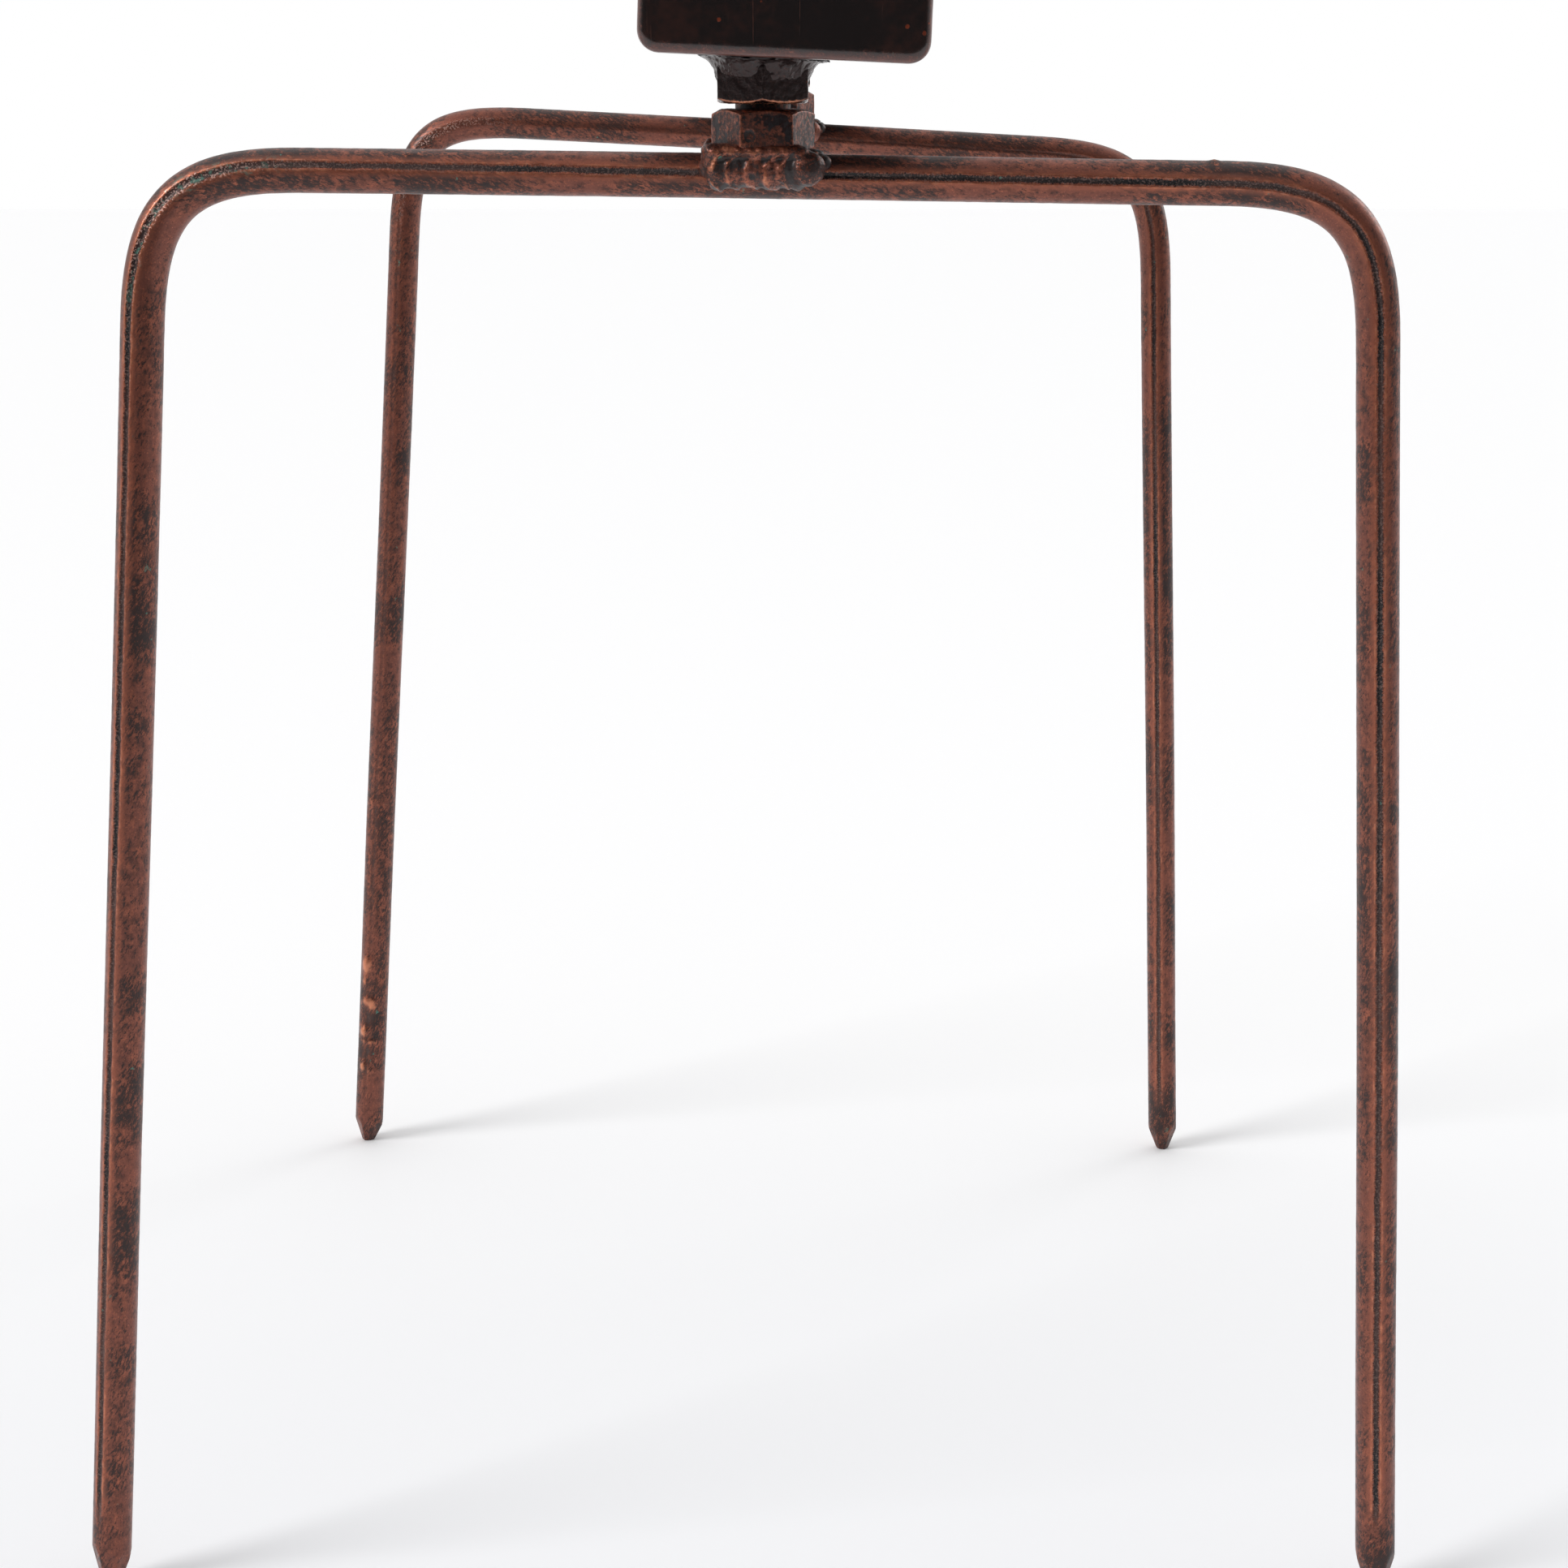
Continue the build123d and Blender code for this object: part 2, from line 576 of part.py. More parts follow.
# ---- assembly -------------------------------------------------------------------------------
def all_parts():
    beam_block = beam_outline()
    parts = {
        "body_tube": body_tube(),
        "front_end_plate": end_plate(-1),
        "rear_end_plate": end_plate(1),
        "burner_socket": burner_socket(beam_block),
        "socket_weld": socket_weld(beam_block),
        "burner_base": burner_base(),
        "gas_jet": gas_jet(),
        "barrel": barrel(),
        "barrel_locknut": barrel_locknut(),
        "air_collar": air_collar(),
        "collar_stop_ring": collar_stop_ring(),
        "flame_head": flame_head(),
        "valve_packing": valve_packing(),
        "valve_bonnet": valve_bonnet(),
        "valve_spindle": valve_spindle(),
        "valve_knob": valve_knob(),
        "knob_screw": knob_screw(),
        "hose_washer": hose_washer(),
        "hose_tail": hose_tail(),
    }
    for legs in LEG_FRAMES:
        frame = leg_frame(legs)
        parts[f"{legs.name}_leg_frame"] = frame
        parts[f"{legs.name}_lower_nut"] = stand_nut(legs, legs.lower_nut_turn, LOWER_NUT_Z)
        parts[f"{legs.name}_lower_weld"] = lower_weld(legs, frame)
        parts[f"{legs.name}_stud"] = stud(legs)
        parts[f"{legs.name}_upper_nut"] = stand_nut(legs, legs.upper_nut_turn, UPPER_NUT_Z)
        parts[f"{legs.name}_upper_weld"] = upper_weld(legs, beam_block)
    return parts


os.makedirs("parts", exist_ok=True)
for name, shape in all_parts().items():
    export_step(shape, f"parts/{name}.step")
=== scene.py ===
import json
import math
import random
import bmesh
import bpy
import numpy as np
from mathutils import Matrix, Vector, noise


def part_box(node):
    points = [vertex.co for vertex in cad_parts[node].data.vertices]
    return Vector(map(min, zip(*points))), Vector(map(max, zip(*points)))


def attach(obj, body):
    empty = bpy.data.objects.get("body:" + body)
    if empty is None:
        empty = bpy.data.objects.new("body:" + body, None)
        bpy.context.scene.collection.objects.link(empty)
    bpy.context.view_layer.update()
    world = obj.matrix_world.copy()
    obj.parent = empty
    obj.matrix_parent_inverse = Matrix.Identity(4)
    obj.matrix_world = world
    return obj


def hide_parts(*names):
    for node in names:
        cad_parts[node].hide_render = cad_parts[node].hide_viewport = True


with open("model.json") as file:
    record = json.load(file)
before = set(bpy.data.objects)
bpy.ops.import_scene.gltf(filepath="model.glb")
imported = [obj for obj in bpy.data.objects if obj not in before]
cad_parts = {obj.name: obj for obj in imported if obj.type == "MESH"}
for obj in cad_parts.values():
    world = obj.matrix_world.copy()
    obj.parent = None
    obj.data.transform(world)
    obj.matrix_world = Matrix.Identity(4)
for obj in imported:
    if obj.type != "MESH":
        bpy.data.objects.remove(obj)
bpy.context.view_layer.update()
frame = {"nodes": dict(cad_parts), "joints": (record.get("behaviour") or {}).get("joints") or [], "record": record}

# The looks of a gas burner on a bent-rod stand: antique copper plate over drawn bar, welded nuts and
# a box beam with near-black patina. Lengths are millimetres, and MM turns them into the scene's metres.
MM = 0.001

# ---- driving dimensions of the stand, the same as in the CAD source --------------------------
ROD_RADIUS = 3.25
BAR_HEIGHT = 228.4
NUT_FLATS = 13.0
LOWER_NUT_Z = 231.9
UPPER_NUT_Z = 238.55
UNDERSIDE_Z = 244.8
BEAM_X = 7.0
BEAM_WIDTH = 40.0
BEAM_HEIGHT = 25.0
BEAM_LENGTH = 226.0
BEAM_WALL = 2.0
BEAM_CORNER = 3.0
BEAM_ROLL = 2.5
PLATE_THICKNESS = 3.0

# Each leg frame: the left and right half of its bar, the bar's slope in degrees, how far the bends reach
# and the share by which they are drawn into their corners, the points' length, and the seam's angle in
# degrees from the front towards the outside of the frame and its depth as a share of the deepest, both at
# the left foot, both ends of the first bend, the stud, both ends of the second bend and the right foot.
LEG_FRAMES = {
    "front": (88.7, 88.3, 0.72, 22.0, 0.77, 7.2, (32, 27, 17, 8, 2, -4, -10), (1, 1, 1, 1, 1, 1, 1)),
    "rear": (
        78.4, 79.3, 2.96, 25.0, 0.83, 5.3,
        (16, 14, 9, 4, 0, -14, -18),
        (0.2, 0.2, 0.1, 0.2, 0.2, 0.9, 0.9),
    ),
}
# Marks left on each rod by its making: distance from the left foot, angle as for the seam, height (below
# zero for a pit), half-length and half-width.
ROD_MARKS = {
    "front": (
        (168.0, 30, 0.16, 0.5, 0.5),
        (171.0, 42, 0.14, 0.5, 0.4),
        (144.0, 8, 0.10, 1.2, 0.3),
        (262.0, 52, 0.22, 0.9, 0.4),
        (281.0, 18, -0.26, 0.7, 0.5),
        (377.0, 74, 0.34, 0.7, 0.7),
        (492.0, -12, -0.14, 1.6, 0.8),
        (590.0, -42, 0.20, 0.8, 0.6),
        (595.0, -46, 0.16, 0.7, 0.5),
        (24.0, 20, 0.10, 0.6, 0.5),
        (61.0, 6, -0.22, 0.6, 0.5),
    ),
    "rear": (
        (44.0, 26, 0.62, 2.1, 1.3),
        (40.0, 34, 0.30, 1.2, 0.9),
        (35.2, 12, 0.46, 1.0, 2.0),
        (33.8, -8, 0.34, 0.8, 1.2),
        (27.8, 28, 0.60, 1.2, 1.1),
        (25.3, 6, 0.34, 0.6, 2.2),
        (19.2, 26, 0.50, 0.9, 0.9),
        (18.2, 2, 0.24, 0.5, 2.4),
        (31.0, 4, -0.22, 1.6, 1.8),
        (22.4, 8, -0.24, 1.6, 1.8),
        (83.0, 40, 0.26, 1.4, 1.2),
    ),
}


# ---- meshes ---------------------------------------------------------------------------------
BULGE_PASSES = 2
FULL_BULGE = 2.2  # spreads of height that count as a full crest or hollow
EDGE_SEGMENTS = 3
SHARP_EDGE = 32.0  # degrees, above which an edge is broken


def link(name, mesh):
    piece = bpy.data.objects.new(name, mesh)
    bpy.context.scene.collection.objects.link(piece)
    return piece


def grid_piece(name, rings, close_ends=True):
    """A tube through rings of points (rings x sides x 3, millimetres), closed at both ends."""
    count, sides, _ = rings.shape
    here = np.arange(count * sides).reshape(count, sides)
    after = np.roll(here, -1, axis=1)
    faces = np.stack([here[:-1], after[:-1], after[1:], here[1:]], axis=-1).reshape(-1, 4).tolist()
    points = rings.reshape(-1, 3)
    if close_ends:
        points = np.vstack([points, rings[0].mean(axis=0), rings[-1].mean(axis=0)])
        first, last = count * sides, count * sides + 1
        faces += [(first, b, a) for a, b in zip(here[0].tolist(), after[0].tolist())]
        faces += [(last, a, b) for a, b in zip(here[-1].tolist(), after[-1].tolist())]
    mesh = bpy.data.meshes.new(name)
    mesh.from_pydata((points * MM).tolist(), [], faces)
    mesh.polygons.foreach_set("use_smooth", [True] * len(mesh.polygons))
    mesh.update()
    return link(name, mesh)


def store(mesh, name, values):
    """Keeps one number or one vector for each vertex, for the materials to read."""
    kind, field = ("FLOAT", "value") if values.ndim == 1 else ("FLOAT_VECTOR", "vector")
    layer = mesh.attributes.new(name, kind, "POINT")
    layer.data.foreach_set(field, values.astype(np.float32).ravel())


def vertices_of(mesh):
    points = np.empty(len(mesh.vertices) * 3)
    mesh.vertices.foreach_get("co", points)
    return points.reshape(-1, 3) / MM


def normals_of(mesh):
    normals = np.empty(len(mesh.vertices) * 3)
    mesh.vertex_normals.foreach_get("vector", normals)
    return normals.reshape(-1, 3)


def move_vertices(mesh, points):
    mesh.vertices.foreach_set("co", (points * MM).ravel())
    mesh.update()


def fractal(points, scale, octaves, offset):
    """Smooth fractal noise at each point, about -1 to 1."""
    shift = Vector((offset, 1.7 * offset, 0.6 * offset))
    return np.array([noise.fractal(Vector(p) * scale + shift, 1.0, 2.0, octaves) for p in points])


def neighbour_mean(mesh, values):
    edges = np.empty(len(mesh.edges) * 2, dtype=np.int64)
    mesh.edges.foreach_get("vertices", edges)
    a, b = edges.reshape(-1, 2).T
    count = np.bincount(np.concatenate([a, b]), minlength=len(values))
    columns = [
        np.bincount(np.concatenate([a, b]), np.concatenate([c[b], c[a]]), minlength=len(values))
        for c in values.reshape(len(values), -1).T
    ]
    return (np.stack(columns, axis=-1) / count[:, None]).reshape(values.shape)


def bulge(mesh):
    """How far each vertex stands out of its surroundings: about 1 on a crest and -1 in a hollow."""
    points = vertices_of(mesh)
    height = ((points - neighbour_mean(mesh, points)) * normals_of(mesh)).sum(axis=1)
    for _ in range(BULGE_PASSES):
        height = 0.5 * height + 0.5 * neighbour_mean(mesh, height)
    return np.clip(height / (FULL_BULGE * height.std()), -1, 1)


def fused(name, body, voxel, relax):
    """One skin over the closed shapes in a bmesh, run together and softened."""
    mesh = bpy.data.meshes.new(name)
    body.to_mesh(mesh)
    body.free()
    piece = link(name, mesh)
    skin = piece.modifiers.new("skin", "REMESH")
    skin.mode = "VOXEL"
    skin.voxel_size = voxel * MM
    soften = piece.modifiers.new("soften", "SMOOTH")
    soften.iterations = relax
    graph = bpy.context.evaluated_depsgraph_get()
    piece.data = bpy.data.meshes.new_from_object(piece.evaluated_get(graph), depsgraph=graph)
    piece.modifiers.clear()
    piece.data.polygons.foreach_set("use_smooth", [True] * len(piece.data.polygons))
    return piece


def roughen(piece, height, scale, octaves, offset):
    """Uneven surface, with its crests and hollows kept for the material."""
    mesh = piece.data
    points = vertices_of(mesh)
    bumps = fractal(points, scale, octaves, offset)
    points += normals_of(mesh) * (height * (bumps - bumps.max()))[:, None]
    move_vertices(mesh, points)
    if "relief" in mesh.attributes:
        mesh.attributes.remove(mesh.attributes["relief"])
    store(mesh, "relief", bulge(mesh))


def cad_shape(*nodes):
    body = bmesh.new()
    for node in nodes:
        body.from_mesh(frame["nodes"][node].data)
    return body


def add_blob(body, frame_matrix, centre, radii, lean=0.0):
    """An ellipsoid of weld metal, its centre and radii in millimetres, leaning about the frame's Y."""
    place = Matrix.Translation(Vector(centre) * MM) @ Matrix.Rotation(math.radians(lean), 4, "Y")
    size = Matrix.Diagonal((*(Vector(radii) * MM), 1.0))
    bmesh.ops.create_icosphere(body, subdivisions=3, radius=1.0, matrix=frame_matrix @ place @ size)


def crisp(node, edge):
    """The CAD node's shape with its edges broken by a small round of the given width."""
    body = cad_shape(node)
    bmesh.ops.remove_doubles(body, verts=body.verts, dist=0.002 * MM)
    bmesh.ops.dissolve_limit(body, angle_limit=math.radians(1), verts=body.verts, edges=body.edges)
    mesh = bpy.data.meshes.new(node)
    body.to_mesh(mesh)
    body.free()
    piece = link(f"{node}_finished", mesh)
    bevel = piece.modifiers.new("edge", "BEVEL")
    bevel.width = edge * MM
    bevel.segments = EDGE_SEGMENTS
    bevel.limit_method = "ANGLE"
    bevel.angle_limit = math.radians(SHARP_EDGE)
    bevel.harden_normals = False
    weighted = piece.modifiers.new("shading", "WEIGHTED_NORMAL")
    weighted.keep_sharp = True
    graph = bpy.context.evaluated_depsgraph_get()
    for polygon in mesh.polygons:
        polygon.use_smooth = True
    piece.data = bpy.data.meshes.new_from_object(piece.evaluated_get(graph), depsgraph=graph)
    piece.modifiers.clear()
    return piece


def settle(piece, body, slot, material, *nodes):
    """Puts a finished piece on its body, in the place of the CAD nodes that it stands for."""
    piece.data.materials.clear()
    piece.data.materials.append(material)
    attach(piece, body)
    if nodes:
        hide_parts(*nodes)


# ---- places taken from the frame --------------------------------------------------------------
MOUNTS = {mount["name"]: np.array(mount["pos_m"]) / MM for mount in frame["record"]["mounts"]}
JOINTS = {joint["name"]: joint for joint in frame["joints"]}


def stud_of(side):
    """A leg frame's stud axis on the floor, and the direction of its bar from left to right."""
    stud = np.array(JOINTS[f"{side}_leg_swivel"]["pos_m"]) / MM
    stud[2] = 0.0
    along = MOUNTS[f"{side}_right_foot"] - MOUNTS[f"{side}_left_foot"]
    return stud, along / np.linalg.norm(along)


def stud_frame(side):
    """The matrix from a stud's own axes, X along its bar, to the row frame."""
    stud, along = stud_of(side)
    turn = Matrix.Rotation(math.atan2(along[1], along[0]), 4, "Z")
    return Matrix.Translation(Vector(stud) * MM) @ turn


def in_beam(points):
    """Points in the beam's own rolled axes: across from its middle, along, and up from its underside."""
    roll = math.radians(BEAM_ROLL)
    x, z = points[:, 0] - BEAM_X, points[:, 2] - UNDERSIDE_Z
    return np.stack(
        [x * math.cos(roll) - z * math.sin(roll), points[:, 1], x * math.sin(roll) + z * math.cos(roll)],
        axis=-1,
    )


def from_beam(points):
    """The reverse of in_beam."""
    roll = math.radians(BEAM_ROLL)
    x, z = points[..., 0], points[..., 2]
    return np.stack(
        [
            BEAM_X + x * math.cos(roll) + z * math.sin(roll),
            points[..., 1],
            UNDERSIDE_Z - x * math.sin(roll) + z * math.cos(roll),
        ],
        axis=-1,
    )


# ---- materials --------------------------------------------------------------------------------
COPPER_BRIGHT = (0.72, 0.27, 0.145, 1)
COPPER_WARM = (0.46, 0.145, 0.082, 1)
COPPER_BROWN = (0.195, 0.070, 0.051, 1)
PATINA = (0.020, 0.012, 0.012, 1)
BLUE_PATINA = (0.016, 0.014, 0.017, 1)
VERDIGRIS = (0.09, 0.27, 0.21, 1)
SEAM_BLACK = (0.012, 0.010, 0.011, 1)
FLECK = (0.72, 0.45, 0.38, 1)
RIM_BROWN = (0.15, 0.056, 0.045, 1)
BEAM_BLACK = (0.010, 0.006, 0.006, 1)
BEAM_BROWN = (0.034, 0.012, 0.009, 1)
SPECK_RED = (0.40, 0.075, 0.030, 1)
BRASS = (0.62, 0.42, 0.15, 1)
BRASS_DULL = (0.28, 0.17, 0.06, 1)
RUBBER = (0.012, 0.012, 0.013, 1)
RUBBER_DUST = (0.06, 0.055, 0.05, 1)


DRAWN_LINES = (2.4, 2.4, 0.11)  # stretch of the fine lines along a drawn bar
WIPED_SCALE = (0.8, 0.8, 2.4)  # of the patina's specks on the bars, drawn out along them
WIPED_LEAN = 0.5  # radians by which those specks lean
COPPER_BUMP = 0.06
COPPER_COAT, COPPER_COAT_ROUGHNESS = 0.3, 0.26
BEAM_BUMP = 0.05
BEAM_COAT, BEAM_COAT_ROUGHNESS = 0.5, 0.16
BEAM_SPECULAR = 0.55
EDGE_WEAR = 0.45
BRASS_EDGE_WEAR = 0.3


class Surface:
    """One material under construction. Each method adds a node and returns its output."""

    def __init__(self, name):
        self.material = bpy.data.materials.new(name)
        self.material.use_nodes = True
        self.tree = self.material.node_tree
        self.shader = self.tree.nodes["Principled BSDF"]
        here = self.add("TexCoord", {}, "Object")
        self.place = self.add("VectorMath", {0: here, "Scale": 1 / MM}, operation="SCALE")

    def feed(self, socket, value):
        if isinstance(value, bpy.types.NodeSocket):
            self.tree.links.new(value, socket)
        else:
            socket.default_value = value

    def add(self, kind, inputs, output=0, **settings):
        node = self.tree.nodes.new(f"ShaderNode{kind}")
        for key, value in settings.items():
            setattr(node, key, value)
        for key, value in inputs.items():
            self.feed(node.inputs[key], value)
        return node.outputs[output]

    def attribute(self, name, output):
        return self.add("Attribute", {}, output, attribute_name=name)

    def stretch(self, place, scale):
        return self.add("VectorMath", {0: place, 1: scale}, operation="MULTIPLY")

    def noise(self, place, scale, detail=4.0, roughness=0.6):
        inputs = {"Vector": place, "Scale": scale, "Detail": detail, "Roughness": roughness}
        return self.add("TexNoise", inputs)

    def sum(self, *terms):
        """The sum of (weight, value) terms."""
        total = 0.0
        for weight, value in terms:
            total = self.add("Math", {0: value, 1: weight, 2: total}, operation="MULTIPLY_ADD")
        return total

    def times(self, a, b):
        return self.add("Math", {0: a, 1: b}, operation="MULTIPLY")

    def ramp(self, value, low, high):
        """0 below low, 1 above high, smooth between."""
        inputs = {"Value": value, "From Min": low, "From Max": high}
        return self.add("MapRange", inputs, interpolation_type="SMOOTHSTEP")

    def mix(self, factor, a, b):
        return self.add("Mix", {0: factor, 6: a, 7: b}, 2, data_type="RGBA")

    def edges(self, radius):
        """Shader measure of edge wear and of dirt in corners, for pieces with few vertices."""
        rounded = self.add("Bevel", {"Radius": radius * MM}, samples=4)
        flat = self.add("NewGeometry", {}, "Normal")
        same = self.add("VectorMath", {0: rounded, 1: flat}, "Value", operation="DOT_PRODUCT")
        edge = self.ramp(self.sum((-1.0, same)), -0.995, -0.90)
        open_sky = self.add("AmbientOcclusion", {"Distance": 3 * radius * MM}, "AO", samples=4)
        closed = self.ramp(self.sum((-1.0, open_sky)), -0.85, -0.45)
        return self.sum((1.0, edge), (-1.8, closed))

    def bump(self, height, depth):
        inputs = {"Height": height, "Distance": depth * MM, "Strength": 1.0}
        self.feed(self.shader.inputs["Normal"], self.add("Bump", inputs))

    def coat(self, weight, roughness):
        self.shader.inputs["Coat Weight"].default_value = weight
        self.shader.inputs["Coat Roughness"].default_value = roughness

    def finish(self, colour, roughness, metallic):
        self.feed(self.shader.inputs["Base Color"], colour)
        self.feed(self.shader.inputs["Roughness"], roughness)
        self.feed(self.shader.inputs["Metallic"], metallic)
        return self.material


def antique_copper(
    name,
    relief="attribute",
    lay=False,
    tone=0.0,
    turned=DRAWN_LINES,
    rubbed=1.0,
    pools=0.0,
    cover=0.8,
    dull=0.33,
):
    """Copper plate gone brown, blackened in its hollows, rubbed bright on its crests.

    lay: the piece keeps straightened coordinates and the place of its seam. tone: above zero is darker.
    turned: stretch of the tool marks. rubbed: share of wear on the crests.
    pools: share of smooth blue-black patches. cover: how far patina hides the copper. dull: roughness of
    the clean plate."""
    s = Surface(name)
    place = s.attribute("lay", "Vector") if lay else s.place
    height = s.attribute("relief", "Fac") if relief == "attribute" else s.edges(EDGE_WEAR)
    clouds = s.noise(s.place, 0.075, 5)
    mottle = s.noise(place, 0.62, 7, 0.74)
    grain = s.noise(place, 3.4, 4, 0.7)
    streak = s.noise(s.stretch(place, turned), 1.0, 4)
    scratch = s.noise(s.stretch(place, (3.0, 0.5, 1.1)), 2.2, 2)
    dirt = s.sum((0.30, clouds), (0.42, mottle), (0.22, streak), (0.20, grain), (-0.10, height))
    patina = s.ramp(dirt, 0.52 - tone, 0.66 - tone)
    warm = s.ramp(s.sum((0.5, clouds), (0.35, streak), (0.35, grain)), 0.52, 0.72)
    rub = s.ramp(s.sum((rubbed, height), (0.9, mottle), (0.5, grain)), 1.05, 1.75)
    hollow = s.ramp(s.sum((-1.0, height), (0.35, grain)), 0.35, 0.85)
    hairline = s.times(s.ramp(scratch, 0.66, 0.72), 0.30)
    wiped = place
    if lay:
        settings = {"Vector": place, "Rotation": (WIPED_LEAN, 0, 0), "Scale": WIPED_SCALE}
        wiped = s.add("Mapping", settings, vector_type="TEXTURE")
    speck_noise = s.noise(wiped, 1.7, 4, 0.85)
    specks = s.times(s.ramp(s.sum((0.65, speck_noise), (0.45, clouds)), 0.54, 0.60), 0.9)
    glints = s.ramp(s.sum((1.0, s.noise(place, 2.9, 3, 0.8)), (-0.3, patina)), 0.56, 0.66)
    colour = s.mix(warm, COPPER_BROWN, COPPER_WARM)
    colour = s.mix(s.times(patina, cover), colour, PATINA)
    colour = s.mix(s.times(glints, 0.7), colour, COPPER_WARM)
    colour = s.mix(specks, colour, PATINA)
    colour = s.mix(hairline, colour, COPPER_WARM)
    if pools:
        pooled = s.sum((1.0, s.noise(s.place, 0.34, 4, 0.5)), (-0.16, height))
        pool = s.ramp(pooled, 0.60 - pools, 0.66 - pools)
        colour = s.mix(s.times(pool, 0.9), colour, BLUE_PATINA)
    colour = s.mix(s.times(rub, 0.85), colour, COPPER_BRIGHT)
    colour = s.mix(hollow, colour, PATINA)
    green = s.ramp(s.noise(s.place, 0.55, 3), 0.69, 0.74)
    relief_depth = s.sum((0.5, mottle), (0.6, grain), (0.5, streak), (-0.3, scratch))
    if lay:
        seam = s.attribute("seam", "Vector")
        apart = s.add("SeparateXYZ", {0: seam})
        strength = s.add("SeparateXYZ", {0: seam}, 1)
        pinch = s.add("SeparateXYZ", {0: seam}, 2)
        away = s.add("Math", {0: apart}, operation="ABSOLUTE")
        crumbs = s.noise(place, 4.6, 3, 0.8)
        ragged = s.sum((-1.0, away), (1.2, crumbs), (0.8, mottle), (0.16, pinch))
        band = s.times(s.ramp(ragged, 0.48, 0.64), strength)
        # Partly painted highlight, partly rubbed copper: a warm strip along both sides of the seam.
        seam_side_rub_and_highlight = s.times(s.ramp(s.sum((-1.0, away), (0.8, mottle)), -1.5, -0.3), strength)
        nearby = s.ramp(s.sum((-1.0, away), (0.2, pinch)), -1.0, -0.5)
        flecks = s.times(s.ramp(s.noise(place, 3.3, 2, 0.6), 0.54, 0.59), nearby)
        flecks = s.times(flecks, s.sum((0.18, strength), (0.7, pinch)))
        # Painted highlight and rubbed copper: the strip beside the seam is mixed towards warm copper.
        colour = s.mix(s.times(seam_side_rub_and_highlight, 0.55), colour, COPPER_WARM)
        colour = s.mix(band, colour, SEAM_BLACK)
        colour = s.mix(flecks, colour, FLECK)
        pinched_green = s.times(s.ramp(s.noise(s.place, 0.8, 4), 0.54, 0.60), s.ramp(pinch, 0.1, 0.6))
        green = s.add("Math", {0: green, 1: s.times(pinched_green, seam_side_rub_and_highlight)}, operation="MAXIMUM")
        relief_depth = s.sum((1.0, relief_depth), (-1.6, band), (1.2, flecks), (1.2, s.times(crumbs, band)))
    green = s.times(green, s.ramp(dirt, 0.50, 0.64))
    colour = s.mix(s.times(green, 0.8), colour, VERDIGRIS)
    roughness = s.sum((1.0, dull), (0.18, patina), (-0.08, rub), (0.20, grain), (0.12, green))
    metallic = s.sum((1.0, 1.0), (-0.30, patina), (-0.35, hollow), (-0.20, green), (-0.30, specks))
    s.bump(relief_depth, COPPER_BUMP)
    s.coat(COPPER_COAT, COPPER_COAT_ROUGHNESS)
    return s.finish(colour, roughness, metallic)


def beam_patina():
    """Near-black glossy patina with red specks, rubbed to copper along the edges."""
    s = Surface("beam_patina")
    rim = s.attribute("relief", "Fac")
    clouds = s.noise(s.place, 0.09, 5)
    mottle = s.noise(s.place, 0.8, 6, 0.7)
    grain = s.noise(s.place, 4.0, 3)
    specks = s.add("TexVoronoi", {"Vector": s.place, "Scale": 0.33}, "Distance")
    few = s.ramp(s.noise(s.place, 0.21, 2), 0.50, 0.58)
    speck = s.times(s.ramp(s.sum((-1.0, specks), (0.10, grain)), -0.07, -0.02), few)
    scratch = s.noise(s.stretch(s.place, (4.0, 4.0, 0.07)), 1.0, 2)
    hairline = s.ramp(scratch, 0.70, 0.74)
    brown = s.ramp(s.sum((0.6, clouds), (0.5, mottle)), 0.50, 0.72)
    rub = s.ramp(s.sum((1.0, rim), (0.75, mottle), (0.5, grain)), 0.90, 1.70)
    dust = s.ramp(s.sum((0.7, s.noise(s.place, 0.16, 3)), (0.3, grain)), 0.62, 0.74)
    colour = s.mix(brown, BEAM_BLACK, BEAM_BROWN)
    colour = s.mix(s.times(speck, 0.8), colour, SPECK_RED)
    colour = s.mix(s.times(hairline, 0.16), colour, COPPER_WARM)
    colour = s.mix(s.times(dust, 0.05), colour, BLUE_PATINA)
    colour = s.mix(s.times(rub, 0.9), colour, RIM_BROWN)
    worn = s.times(s.ramp(s.sum((1.0, grain), (0.6, mottle)), 0.88, 1.05), rub)
    colour = s.mix(s.times(worn, 0.45), colour, COPPER_WARM)
    green = s.times(s.ramp(s.noise(s.place, 0.42, 3), 0.68, 0.73), s.ramp(rim, 0.2, 0.6))
    colour = s.mix(s.times(green, 0.7), colour, VERDIGRIS)
    roughness = s.sum((1.0, 0.15), (0.10, mottle), (0.22, rub), (0.10, dust), (0.08, hairline))
    metallic = s.sum((1.0, 0.20), (0.40, rub), (0.4, speck))
    s.bump(s.sum((0.7, mottle), (0.2, grain), (-0.4, hairline), (0.3, speck)), BEAM_BUMP)
    s.shader.inputs["Specular IOR Level"].default_value = BEAM_SPECULAR
    s.coat(BEAM_COAT, BEAM_COAT_ROUGHNESS)
    return s.finish(colour, roughness, metallic)


def turned_brass():
    s = Surface("turned_brass")
    height = s.edges(BRASS_EDGE_WEAR)
    clouds = s.noise(s.place, 0.35, 4)
    rings = s.noise(s.stretch(s.place, (6.0, 0.4, 0.4)), 1.0, 3)
    dull = s.ramp(s.sum((0.6, clouds), (0.5, rings), (-0.2, height)), 0.45, 0.70)
    colour = s.mix(dull, BRASS, BRASS_DULL)
    roughness = s.sum((1.0, 0.22), (0.18, dull), (0.12, rings))
    s.bump(rings, 0.02)
    return s.finish(colour, roughness, 1.0)


def seal_rubber():
    s = Surface("seal_rubber")
    grain = s.noise(s.place, 5.0, 4, 0.7)
    dust = s.ramp(s.noise(s.place, 0.9, 4), 0.50, 0.75)
    colour = s.mix(s.times(dust, 0.5), RUBBER, RUBBER_DUST)
    s.bump(grain, 0.03)
    return s.finish(colour, s.sum((1.0, 0.62), (0.2, grain)), 0.0)


